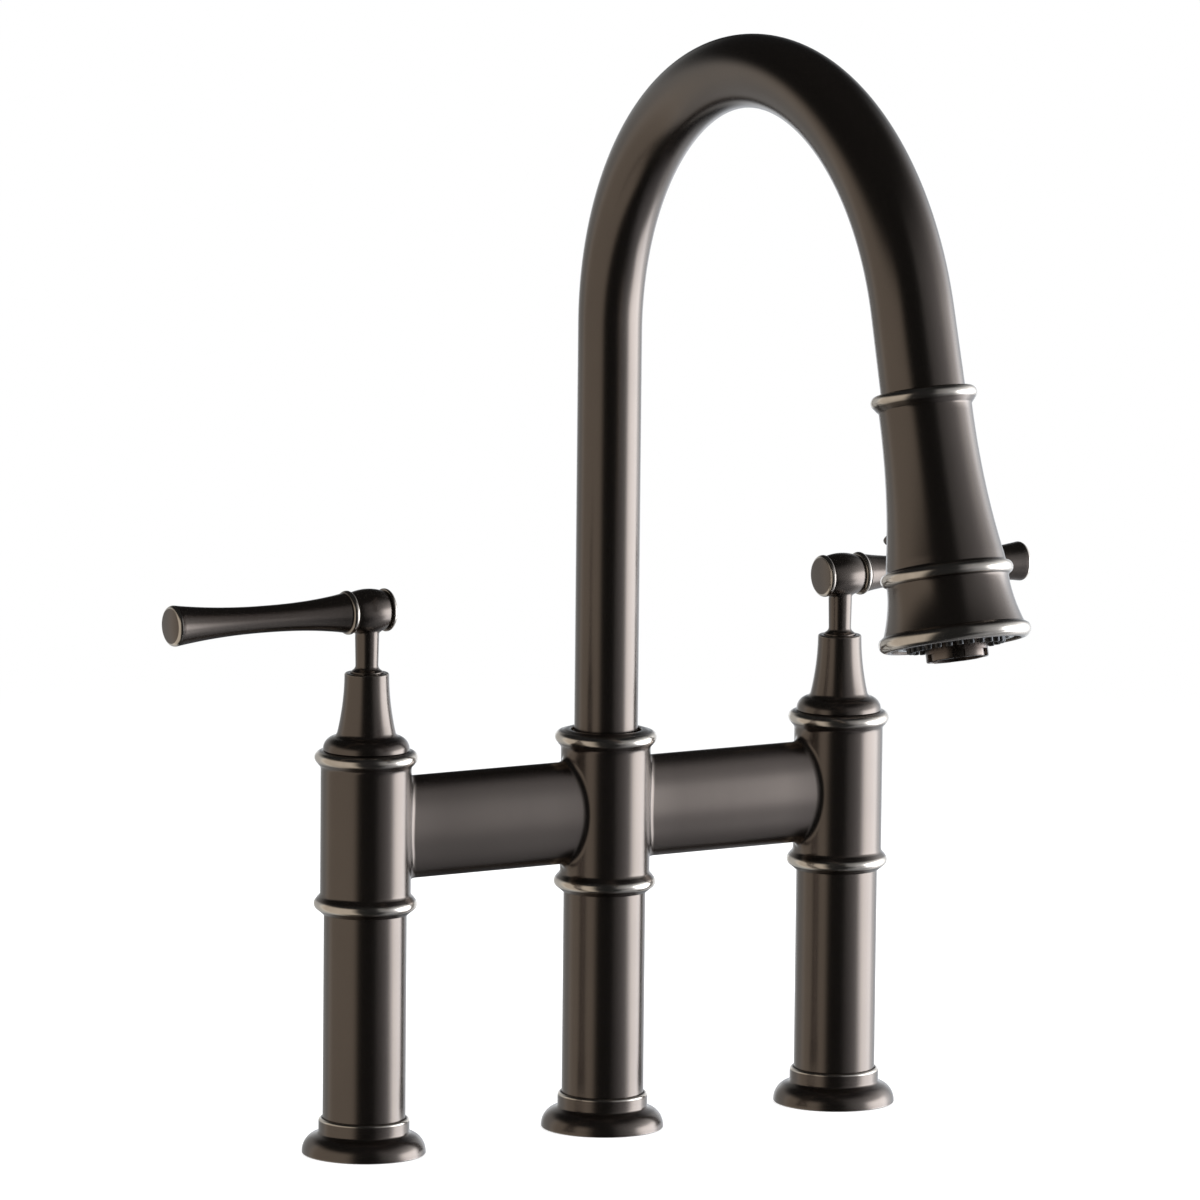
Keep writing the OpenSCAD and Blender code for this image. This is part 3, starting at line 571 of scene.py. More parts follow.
def swept_tube_tree() -> GeometryTree:
    """Builds the tree of the gooseneck: up, round an arch and straight on, flaring evenly.

    Returns:
        The tree, with all its sizes as named inputs.
    """
    t = GeometryTree("gooseneck sweep", {
        "Foot": "FLOAT", "Arch start": "FLOAT", "Arch radius": "FLOAT", "Arch angle": "FLOAT",
        "End run": "FLOAT", "Riser radius": "FLOAT", "End radius": "FLOAT", "Wall": "FLOAT",
        "Stations": "INT", "Sides": "INT", "Material": "MATERIAL"})
    rise = t.calc("SUBTRACT", t["Arch start"], t["Foot"])
    bend = t.calc("MULTIPLY", t["Arch radius"], t["Arch angle"])
    flared = t.calc("ADD", bend, t["End run"])
    whole = t.calc("ADD", rise, flared)
    line = t.node("GeometryNodeMeshLine", None, {"Count": t["Stations"]})
    index = t.node("GeometryNodeInputIndex").outputs[0]
    share = t.calc("DIVIDE", index, t.calc("SUBTRACT", t["Stations"], 1.0))
    way = t.calc("MULTIPLY", share, whole)
    # how far a station is up the riser, past its top, round the arch and down the end run
    up = t.calc("MINIMUM", way, rise)
    past = t.calc("MAXIMUM", t.calc("SUBTRACT", way, rise), 0.0)
    turned = t.calc("MINIMUM", t.calc("DIVIDE", past, t["Arch radius"]), t["Arch angle"])
    run = t.calc("MAXIMUM", t.calc("SUBTRACT", way, t.calc("ADD", rise, bend)), 0.0)
    out_y = t.calc("MULTIPLY", t["Arch radius"], t.calc("SUBTRACT", t.calc("COSINE", turned), 1.0))
    y = t.calc("SUBTRACT", out_y, t.calc("MULTIPLY", run, t.calc("SINE", t["Arch angle"])))
    high = t.calc("ADD", t.calc("ADD", t["Foot"], up),
                  t.calc("MULTIPLY", t["Arch radius"], t.calc("SINE", turned)))
    z = t.calc("ADD", high, t.calc("MULTIPLY", run, t.calc("COSINE", t["Arch angle"])))
    spot = t.node("ShaderNodeCombineXYZ", None, {"Y": y, "Z": z})
    stations = t.node("GeometryNodeSetPosition", None,
                      {"Geometry": line.outputs[0], "Position": spot.outputs[0]}).outputs[0]
    growth = t.calc("SUBTRACT", t["End radius"], t["Riser radius"])
    radius = t.calc("ADD", t["Riser radius"],
                    t.calc("MULTIPLY", t.calc("DIVIDE", past, flared), growth))
    for name, value in (("tube_radius", radius), ("along", way)):
        stations = t.node("GeometryNodeStoreNamedAttribute",
                          {"data_type": "FLOAT", "domain": "POINT"},
                          {"Geometry": stations, "Name": name, "Value": value}).outputs[0]
    path = t.node("GeometryNodeMeshToCurve", None, {"Mesh": stations}).outputs[0]
    read = t.node("GeometryNodeInputNamedAttribute", {"data_type": "FLOAT"},
                  {"Name": "tube_radius"}).outputs[0]
    ring = t.node("GeometryNodeCurvePrimitiveCircle", {"mode": "RADIUS"},
                  {"Resolution": t["Sides"], "Radius": 1.0}).outputs[0]
    outer, inner = (t.node("GeometryNodeCurveToMesh", None,
                           {"Curve": path, "Profile Curve": ring, "Scale": scale})
                    for scale in (read, t.calc("SUBTRACT", read, t["Wall"])))
    walls = t.node("GeometryNodeJoinGeometry")
    for part in (outer, inner):
        t.tree.links.new(part.outputs[0], walls.inputs[0])
    t.close(walls.outputs[0])
    return t


def ring_of_copies_tree() -> GeometryTree:
    """Builds the tree that sets copies of a shape evenly round a circle.

    Returns:
        The tree.
    """
    t = GeometryTree("ring of copies", {
        "Shape": "OBJECT", "Count": "INT", "Circle radius": "FLOAT", "Start angle": "FLOAT",
        "Material": "MATERIAL"})
    circle = t.node("GeometryNodeMeshCircle", None,
                    {"Vertices": t["Count"], "Radius": t["Circle radius"]}).outputs[0]
    seated = t.node("GeometryNodeTransform", None, {
        "Geometry": circle, "Rotation": t.about_z(t["Start angle"])}).outputs[0]
    angle = t.calc("ADD", t.even_angle(t["Count"]), t["Start angle"])
    t.close(t.copies(seated, t.pattern(), Rotation=t.about_z(angle)))
    return t


def copies_at_points_tree() -> GeometryTree:
    """Builds the tree that sets a copy of a shape on each point that it is given.

    Returns:
        The tree.
    """
    t = GeometryTree("copies at points", {"Shape": "OBJECT", "Material": "MATERIAL"})
    t.close(t.copies(t["Geometry"], t.pattern()))
    return t


def braid_tree() -> GeometryTree:
    """Builds the tree of a braided sleeve: two sets of strands that pass over and under.

    Returns:
        The tree, with all its sizes as named inputs.
    """
    t = GeometryTree("hose braid", {
        "Length": "FLOAT", "Radius": "FLOAT", "Turns": "FLOAT", "Strands": "INT", "Steps": "INT",
        "Strand size": "FLOAT", "Weave": "FLOAT", "Material": "MATERIAL"})
    profile = t.node("GeometryNodeCurvePrimitiveCircle", {"mode": "RADIUS"},
                     {"Resolution": 5, "Radius": t["Strand size"]}).outputs[0]
    joined = t.node("GeometryNodeJoinGeometry")
    waves = t.calc("MULTIPLY", t["Turns"], t["Strands"])
    for way in (1.0, -1.0):
        spiral = t.node("GeometryNodeCurveSpiral", None, {
            "Resolution": t["Steps"], "Rotations": t["Turns"], "Start Radius": t["Radius"],
            "End Radius": t["Radius"], "Height": t["Length"], "Reverse": way < 0}).outputs[0]
        points = t.node("GeometryNodePoints", None, {"Count": t["Strands"]}).outputs[0]
        copies = t.copies(points, spiral, Rotation=t.about_z(t.even_angle(t["Strands"])))
        strands = t.node("GeometryNodeRealizeInstances", None, {"Geometry": copies})
        here = t.node("GeometryNodeInputPosition").outputs[0]
        split = t.node("ShaderNodeSeparateXYZ", None, {0: here})
        flat = t.node("ShaderNodeCombineXYZ", None,
                      {"X": split.outputs["X"], "Y": split.outputs["Y"]})
        outward = t.node("ShaderNodeVectorMath", {"operation": "NORMALIZE"}, {0: flat.outputs[0]})
        phase = t.calc("MULTIPLY", t.calc("DIVIDE", split.outputs["Z"], t["Length"]),
                       t.calc("MULTIPLY", waves, 2 * math.pi))
        lift = t.calc("MULTIPLY", t.calc("MULTIPLY", t.calc("COSINE", phase), t["Weave"]), way)
        push = vector_node(t.tree, "SCALE", outward.outputs[0], lift)
        woven = t.node("GeometryNodeSetPosition", None,
                       {"Geometry": strands.outputs[0], "Offset": push})
        solid = t.node("GeometryNodeCurveToMesh", None,
                       {"Curve": woven.outputs[0], "Profile Curve": profile, "Fill Caps": True})
        t.tree.links.new(solid.outputs[0], joined.inputs[0])
    t.close(joined.outputs[0])
    return t


# ------------------------------------------------------------------ finishes


class Finish:
    """What every finish shares: a named material with one main shader, and its patterns."""

    name: str = "finish"

    def start(self) -> tuple[bpy.types.Material, Tree, Socket]:
        """Makes the material and gives it with its tree and the place that is shaded.

        Returns:
            The material, its tree and the place.
        """
        material = bpy.data.materials.new(self.name)
        material.use_nodes = True
        tree = material.node_tree
        return material, tree, object_place(tree)

    def noise(self, tree: Tree, vector: Socket, scale: float = 1.0, detail: float = 2.0) -> Socket:
        """Adds a noise pattern and gives its value."""
        return add_node(tree, "ShaderNodeTexNoise", None,
                        {"Vector": vector, "Scale": scale, "Detail": detail}).outputs[0]

    def specks(self, tree: Tree, here: Socket, width_mm: float, detail: float = 2.0) -> Socket:
        """Adds an even noise pattern whose spots are about so many mm wide."""
        return self.noise(tree, here, 1 / (width_mm * MM), detail)

    def between(self, tree: Tree, value: Socket, low: float, high: float) -> Socket:
        """Maps a value of 0 to 1 into a range."""
        return add_node(tree, "ShaderNodeMapRange", None,
                        {"Value": value, "To Min": low, "To Max": high}).outputs[0]

    def around(self, tree: Tree, value: Socket, middle: float, spread: float) -> Socket:
        """Maps a value of 0 to 1 into the range that lies so far either side of a middle."""
        return self.between(tree, value, middle - spread, middle + spread)

    def blend(self, tree: Tree, amount: Socket, one: Any, two: Any) -> Socket:
        """Mixes two colours and gives the result."""
        return add_node(tree, "ShaderNodeMix", {"data_type": "RGBA"},
                        {0: amount, 6: one, 7: two}).outputs[2]

    def two_tone(self, tree: Tree, value: Socket, spread: float, dark: str, light: str) -> Socket:
        """Mixes two hex colours by a pattern, with more contrast for a wider spread."""
        return self.blend(tree, self.around(tree, value, 0.5, spread), linear(dark), linear(light))

    def surface(self, tree: Tree, inputs: Inputs, height: Socket, depth_mm: float,
                strength: float) -> None:
        """Gives the main shader its inputs and a small relief.

        Args:
            tree: The material's tree.
            inputs: The shader's inputs by name.
            height: The pattern that is raised.
            depth_mm: How high it stands.
            strength: How strongly it shows.
        """
        relief = add_node(tree, "ShaderNodeBump", None,
                          {"Height": height, "Distance": depth_mm * MM, "Strength": strength})
        fill(tree, tree.nodes["Principled BSDF"], {**inputs, "Normal": relief.outputs[0]})


@dataclass(frozen=True)
class AntiqueSteel(Finish):
    """Brass with a satin, dark antique steel coating, rubbed back along its raised edges.

    It was vacuum coated over fine turning lines, so it reflects softly, with lines round each
    turned piece, a cloudy tone and lighter beads, rings and rims where it was relieved.
    """

    name: str = "antique_steel_satin"
    coat: str = "#756b63"
    deep: str = "#6c635c"
    relieved: str = "#e0d5c8"
    roughness: float = 0.24
    line_mm: float = 0.55
    line_drift: float = 9.0
    cloud_mm: float = 25.0
    mottle_mm: float = 4.0
    satin_spread: float = 0.035
    edge_polish: float = 0.045
    tone_spread: float = 0.4
    mottle: tuple[float, float] = (0.8, 1.1)
    coat_metallic: float = 0.98
    line_depth_mm: float = 0.012
    line_show: float = 0.35

    def make(self) -> bpy.types.Material:
        """Builds the material.

        Turning lines are about 0.1 mm apart on the real piece; they are drawn 0.55 mm apart, so
        that they still show in a view of the whole faucet.

        Returns:
            The material.
        """
        material, tree, here = self.start()
        along, rubbed = (
            add_node(tree, "ShaderNodeAttribute", {"attribute_name": key}).outputs["Fac"]
            for key in ("along", "rubbed"))
        lift = add_node(tree, "ShaderNodeCombineXYZ", None,
                        {"Z": math_node(tree, "MULTIPLY", along, 1 / self.line_mm)}).outputs[0]
        drift = vector_node(tree, "SCALE", here, self.line_drift)
        lines = self.noise(tree, vector_node(tree, "ADD", drift, lift), detail=3.0)
        cloud = self.specks(tree, here, self.cloud_mm)
        tone = self.two_tone(tree, cloud, self.tone_spread, self.deep, self.coat)
        patches = self.between(tree, self.specks(tree, here, self.mottle_mm), *self.mottle)
        worn = math_node(tree, "MULTIPLY", rubbed, patches)
        polish = math_node(tree, "MULTIPLY", rubbed, -self.edge_polish)
        satin = self.around(tree, lines, self.roughness, self.satin_spread)
        # the coat scatters a little light, where the relieved metal under it has none
        self.surface(tree, {
            "Base Color": self.blend(tree, worn, tone, linear(self.relieved)),
            "Metallic": self.between(tree, rubbed, self.coat_metallic, 1.0),
            "Roughness": math_node(tree, "ADD", satin, polish)},
            lines, self.line_depth_mm, self.line_show)
        return material


@dataclass(frozen=True)
class TurnedMetal(Finish):
    """Plain metal turned or ground bright, such as brass fittings or stainless steel screws."""

    name: str = "machined_brass"
    colour: str = "#b59a5c"
    shade: str = "#9b8148"
    roughness: float = 0.26
    line_mm: float = 0.6
    line_drift: float = 30.0
    cloud_mm: float = 12.0
    tone_spread: float = 0.7
    line_spread: float = 0.05
    line_depth_mm: float = 0.01
    line_show: float = 0.4

    def make(self) -> bpy.types.Material:
        """Builds the material, with cutter lines across the turning axis.

        Returns:
            The material.
        """
        material, tree, here = self.start()
        scale = (self.line_drift, self.line_drift, 1 / (self.line_mm * MM))
        lines = self.noise(tree, add_node(tree, "ShaderNodeMapping", None,
                                          {"Vector": here, "Scale": scale}).outputs[0])
        cloud = self.specks(tree, here, self.cloud_mm)
        self.surface(tree, {
            "Base Color": self.two_tone(tree, cloud, self.tone_spread, self.shade, self.colour),
            "Metallic": 1.0,
            "Roughness": self.around(tree, lines, self.roughness, self.line_spread)},
            lines, self.line_depth_mm, self.line_show)
        return material


@dataclass(frozen=True)
class Moulded(Finish):
    """A moulded or fired part without shine of its own: rubber, plastic or ceramic."""

    name: str = "moulded_plastic"
    colour: str = "#2b2b2d"
    shade: str = "#232325"
    roughness: float = 0.45
    grain_mm: float = 0.5
    depth_mm: float = 0.02
    cloud_mm: float = 9.0
    tone_spread: float = 0.7
    grain_spread: float = 0.06
    grain_show: float = 0.5

    def make(self) -> bpy.types.Material:
        """Builds the material, with the fine skin of its mould.

        Returns:
            The material.
        """
        material, tree, here = self.start()
        grain = self.specks(tree, here, self.grain_mm)
        cloud = self.specks(tree, here, self.cloud_mm, 1.0)
        self.surface(tree, {
            "Base Color": self.two_tone(tree, cloud, self.tone_spread, self.shade, self.colour),
            "Roughness": self.around(tree, grain, self.roughness, self.grain_spread)},
            grain, self.depth_mm, self.grain_show)
        return material


@dataclass(frozen=True)
class BraidedYarn(Finish):
    """Grey nylon yarn, braided tightly over the spray hose; each strand has fine threads."""

    name: str = "braided_nylon"
    light: str = "#7b7873"
    dark: str = "#55524e"
    thread_mm: float = 0.25
    cloud_mm: float = 3.0
    roughness: float = 0.55
    sheen: float = 0.25
    tone_spread: float = 0.9
    thread_depth_mm: float = 0.05
    thread_show: float = 0.6

    def make(self) -> bpy.types.Material:
        """Builds the material, with fine threads along the strands.

        Returns:
            The material.
        """
        material, tree, here = self.start()
        threads = self.specks(tree, here, self.thread_mm, 3.0)
        both = math_node(tree, "ADD", threads, self.specks(tree, here, self.cloud_mm))
        mean = math_node(tree, "MULTIPLY", both, 0.5)
        self.surface(tree, {
            "Base Color": self.two_tone(tree, mean, self.tone_spread, self.dark, self.light),
            "Roughness": self.roughness, "Sheen Weight": self.sheen},
            threads, self.thread_depth_mm, self.thread_show)
        return material


@dataclass
class Palette:
    """All the finishes of the faucet, made once."""

    antique_steel: bpy.types.Material = field(default_factory=lambda: AntiqueSteel().make())
    brass: bpy.types.Material = field(default_factory=lambda: TurnedMetal().make())
    bright_steel: bpy.types.Material = field(default_factory=lambda: TurnedMetal(
        "satin_stainless_steel", "#a3a19e", "#8b8986", 0.22, 0.5).make())
    black_rubber: bpy.types.Material = field(default_factory=lambda: Moulded(
        "moulded_black_rubber", "#262220", "#1d1a18", 0.32, 0.4, 0.01).make())
    ceramic: bpy.types.Material = field(default_factory=lambda: Moulded(
        "polished_ceramic", "#e8e4da", "#dfdacf", 0.14, 0.8, 0.002).make())
    dark_plastic: bpy.types.Material = field(default_factory=lambda: Moulded().make())
    coated_plastic: bpy.types.Material = field(default_factory=lambda: AntiqueSteel(
        "antique_steel_on_plastic", "#6b6059", "#625750", "#a89c91", 0.27).make())
    braided_hose: bpy.types.Material = field(default_factory=lambda: BraidedYarn().make())

    def of(self, slot: str) -> bpy.types.Material:
        """Gives the material for one of the record's slots."""
        return getattr(self, slot)


# ------------------------------------------------------------------ the faucet


class Side(Enum):
    """The side of the bridge that a piece is on, with its direction along x."""

    LEFT = -1
    CENTRE = 0
    RIGHT = 1

    @property
    def word(self) -> str:
        """The side's name in the frame's node names."""
        return self.name.lower()


@dataclass
class Assembly:
    """What the sub-assemblies share: finishes, a few sizes, and how a piece joins the frame."""

    palette: Palette
    leg_pitch: float = 101.6
    tube_r: float = 15.1
    end_r: float = 14.8
    barrel_top: float = 148.4

    def stand(self, side: Side) -> Matrix:
        """Gives the place of a leg; what stands on the right is the left one's mirror.

        Args:
            side: The side that the leg is on.

        Returns:
            Its place.
        """
        if side is Side.CENTRE:
            return Matrix.Identity(4)
        place = Matrix.Translation((-self.leg_pitch, 0, 0))
        return Matrix.Scale(-1, 4, (1, 0, 0)) @ place if side is Side.RIGHT else place

    def seat(self, shape: Shape, name: str, slot: str, body: str, nodes: Sequence[str],
             sharp: float = SHARP, finish: str = "") -> bpy.types.Object:
        """Finishes a piece, fixes it to a body and lets it stand for its CAD nodes.

        Args:
            shape: The piece's mesh, in mm.
            name: Its name.
            slot: The record's material slot.
            body: The body that it moves with.
            nodes: The CAD nodes that it stands for.
            sharp: The angle over which an edge stays sharp.
            finish: Another finish of the palette, for a piece coated over its slot's material.

        Returns:
            The finished object.
        """
        thing = shape.finish(name, self.palette.of(finish or slot), sharp)
        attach(thing, body)
        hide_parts(*nodes)
        LOG.info("%s: %d faces, on %s, for %s",
                 name, len(thing.data.polygons), body, ", ".join(nodes))
        return thing


@dataclass
class Bridge(Assembly):
    """The casting: three beaded barrels joined by two oval arms with filleted ends."""

    # the barrels: their beads with a cove beside each, and the bores in them
    barrel_r: float = 16.5
    barrel_low: float = 88.3
    bead_r: float = 18.8
    bead_round: float = 2.3
    top_bead_z: float = 145.5
    low_bead_z: float = 91.9
    cove: float = 2.2
    cove_up: float = 4.3
    cove_end: float = 6.0
    socket_top: float = 94.9
    nut_bore: float = 13.8
    nut_floor: float = 145.6
    bush_bore: float = 13.0
    bush_floor: float = 131.0
    # the arms: the oval's half axes, the fillet at each end and how finely both are drawn
    arm_z: float = 118.5
    arm_half_tall: float = 18.9
    arm_half_deep: float = 9.4
    fillet: float = 3.6
    arm_points: int = 112
    fillet_steps: int = 9
    buried: float = 0.93
    quarter: float = 0.72

    def barrel_outline(self, bore: float, bore_foot: float) -> Outline:
        """Gives a barrel's outline, open at the foot for its leg tube and on top for its valve.

        Args:
            bore: Radius of the bore in its top.
            bore_foot: Height of that bore's floor.

        Returns:
            The stops in order.
        """
        crest = self.bead_r - self.bead_round
        socket = self.tube_r + 0.1
        return [
            Stop(0, self.socket_top), Stop(socket, self.socket_top),
            Stop(socket, self.barrel_low + 0.3),
            Stop(socket + 0.25, self.barrel_low), Stop(self.tube_r + 0.6, self.barrel_low),
            *arc(crest, self.low_bead_z, self.bead_round, -62, 48, 14, 1.0),
            *arc(self.barrel_r + self.cove, self.low_bead_z + self.cove_up, self.cove, 235, 180, 8),
            Stop(self.barrel_r, self.low_bead_z + self.cove_end),
            Stop(self.barrel_r, self.top_bead_z - self.cove_end),
            *arc(self.barrel_r + self.cove, self.top_bead_z - self.cove_up, self.cove, 180, 125, 8),
            *arc(crest, self.top_bead_z, self.bead_round, -48, 84, 16, 1.0),
            Stop(self.bead_r - 3.0, self.barrel_top - 0.42),
            Stop(self.bead_r - 3.6, self.barrel_top - 0.12),
            Stop(self.bead_r - 4.4, self.barrel_top), Stop(bore + 0.3, self.barrel_top),
            Stop(bore, self.barrel_top - 0.3), Stop(bore, bore_foot), Stop(0, bore_foot),
        ]

    def arm(self, shape: Shape, side: Side) -> None:
        """Adds one arm, whose ends run out into the barrels over a rolled fillet.

        Args:
            shape: The shape that gets the arm.
            side: The side that it is on.
        """
        reach, left = self.barrel_r + self.fillet, -self.leg_pitch
        deep, tall = self.arm_half_deep, self.arm_half_tall
        rows: list[list[Vector]] = []
        for k in range(self.arm_points):
            t = 2 * math.pi * k / self.arm_points
            edge = Vector((0, deep * math.cos(t), tall * math.sin(t)))
            normal = Vector((0, math.cos(t) / deep, math.sin(t) / tall)).normalized()
            ball = edge + normal * self.fillet
            ball.x = math.sqrt(reach ** 2 - ball.y ** 2)
            inward = Vector((-ball.x / reach, -ball.y / reach, 0))
            row = [ball + (-normal).slerp(inward, i / self.fillet_steps) * self.fillet
                   for i in range(self.fillet_steps + 1)]
            # the last ring lies inside the barrel
            end = Vector((row[-1].x * self.buried, row[-1].y * self.buried, row[-1].z))
            rows.append([end, *reversed(row)])
        rings = [[Vector((left + p.x, p.y, p.z + self.arm_z)) for p in ring] for ring in zip(*rows)]
        for x in (left * self.quarter, left / 2):
            rings.append([Vector((x, row[-1].y, row[-1].z + self.arm_z)) for row in rows])
        rings += [[Vector((left - p.x, p.y, p.z)) for p in ring] for ring in reversed(rings[:-1])]
        flip = -1 if side is Side.RIGHT else 1
        made = [[shape.point(Vector((flip * p.x, p.y, p.z)), p.x) for p in ring] for ring in rings]
        for end in (made[0], made[-1]):
            shape.mesh.faces.new(end)
        shape.skin(made)

    def build(self) -> None:
        """Makes the casting as one piece."""
        shape = Shape()
        for side in Side:
            centre = side is Side.CENTRE
            bore, foot = ((self.bush_bore, self.bush_floor) if centre
                          else (self.nut_bore, self.nut_floor))
            shape.turn(self.barrel_outline(bore, foot), self.stand(side))
        for side in (Side.LEFT, Side.RIGHT):
            self.arm(shape, side)
        self.seat(shape, "bridge_casting", "antique_steel", "base", ["bridge_body"])


@dataclass
class Foot(Assembly):
    """A leg: the tube, the domed flange round its foot and the threaded socket in it."""

    tube_bore: float = 12.9
    tube_foot: float = 2.45
    tube_top: float = 94.75
    # the flange: a dome that is part of an oval, and a collar with a rolled lip
    flange_r: float = 22.6
    dome_w: float = 5.8
    dome_h: float = 6.7
    dome_angle: float = 68.0
    shoulder_z: float = 8.8
    collar_r: float = 16.6
    collar_z: float = 13.0
    lip: float = 1.05
    # the side legs' socket: its thread's crests, pitch, depth as a share of the pitch, and flanks
    side_minor: float = 9.3
    side_pitch: float = 1.814
    side_way: float = 6.0
    socket_depth: float = 16.0
    thread_depth: float = 0.54
    thread_flank: float = 2.6
    lead_in: float = 0.9
    thread_rows: int = 8
    thread_points: int = 96

    def flange_outline(self) -> Outline:
        """Gives the flange's outline: foot, dome, cove, collar and lip, with a recess below.

        Returns:
            The stops in order.
        """
        recess = self.tube_r + 1.0

        def dome(u: float) -> tuple[float, float]:
            """The dome's radius and height, from its edge to the cove."""
            a = math.radians(self.dome_angle * u)
            return (self.flange_r - self.dome_w + self.dome_w * math.cos(a),
                    0.5 + self.dome_h * math.sin(a))

        return [
            Stop(self.tube_r + 0.1, 0.3), Stop(self.tube_r + 0.4, 0), Stop(recess - 0.1, 0),
            Stop(recess, 0.1), Stop(recess, self.shoulder_z - 4),
            Stop(self.flange_r - 5.4, self.shoulder_z - 4), Stop(self.flange_r - 2.0, 1.6),
            Stop(self.flange_r - 1.8, 0.1), Stop(self.flange_r - 1.7, 0),
            Stop(self.flange_r - 0.2, 0, 0.3), Stop(self.flange_r, 0.25, 0.3),
            *curve(14, dome),
            *arc(self.collar_r + 1.2, self.shoulder_z - 0.4, 1.2, 245, 180, 7),
            Stop(self.collar_r, self.collar_z - 1.4),
            *arc(self.collar_r - self.lip, self.collar_z - self.lip, self.lip, 0, 90, 9, 1.0),
            Stop(self.tube_r + 0.5, self.collar_z), Stop(self.tube_r + 0.1, self.collar_z - 0.4),
        ]

    def threaded_socket(self, minor: float, pitch: float, floor: float) -> Shape:
        """Makes a socket with a real helical thread in its bore.

        Args:
            minor: Radius at the crests of the thread.
            pitch: Rise of one turn.
            floor: Radius of the way on through the socket.

        Returns:
            The socket as a shape.
        """
        shape = Shape()
        rows, n = int(self.socket_depth / pitch * self.thread_rows), self.thread_points
        rings = []
        for i in range(rows + 1):
            z = self.socket_depth * i / rows
            ring = []
            for k in range(n):
                turn = k / n
                phase = (z / pitch - turn) % 1.0
                tooth = min(1.0, max(0.0, self.thread_flank * abs(phase - 0.5) - 0.15))
                # the thread runs out at both ends, past a bevel at the mouth
                fade = min(1.0, z / 1.2, (self.socket_depth - z) / 1.6)
                bevel = max(0.0, self.lead_in - z)
                r = minor + self.thread_depth * pitch * tooth * fade + bevel
                a = 2 * math.pi * turn
                ring.append(shape.point(Vector((r * math.cos(a), r * math.sin(a), z)), z))
            rings.append(ring)
        top, fit, skirt = self.socket_depth, self.tube_bore - 0.1, self.tube_r - 0.05
        outside = [
            Stop(floor, top), Stop(floor, top + 8), Stop(fit - 0.3, top + 8), Stop(fit, top + 7.7),
            Stop(fit, top + 4.6), Stop(fit - 2.3, top + 4.6), Stop(fit - 2.3, top + 2),
            Stop(fit, top + 2), Stop(fit, 2.4), Stop(skirt, 2.4), Stop(skirt, 0.2),
            Stop(skirt - 0.2, 0.0),
        ]
        around = [2 * math.pi * k / n for k in range(n)]
        for stop in outside:
            rings.append([shape.point(Vector((stop.r * math.cos(a), stop.r * math.sin(a), stop.z)),
                                      stop.z) for a in around])
        shape.skin(rings, closed=True)
        return shape

    def build(self, side: Side) -> None:
        """Makes the leg on one side.

        Args:
            side: The side that it is on.
        """
        word, place = side.word, self.stand(side)
        flange = Shape().turn(self.flange_outline(), place)
        self.seat(flange, f"{word}_flange", "antique_steel", "base", [f"{word}_base_flange"])
        tube = Shape().turn([
            Stop(self.tube_bore, self.tube_foot), Stop(self.tube_r - 0.2, self.tube_foot),
            Stop(self.tube_r, self.tube_foot + 0.25), Stop(self.tube_r, 50),
            Stop(self.tube_r, self.tube_top - 0.15), Stop(self.tube_r - 0.2, self.tube_top),
            Stop(self.tube_bore, self.tube_top)], place)
        self.seat(tube, f"{word}_leg", "antique_steel", "base", [f"{word}_leg_tube"])
        if side is not Side.CENTRE:
            thread = self.threaded_socket(self.side_minor, self.side_pitch, self.side_way)
            self.seat(Shape().add(thread, place), f"{word}_socket", "brass", "base",
                      [f"{word}_inlet_socket"], sharp=40)


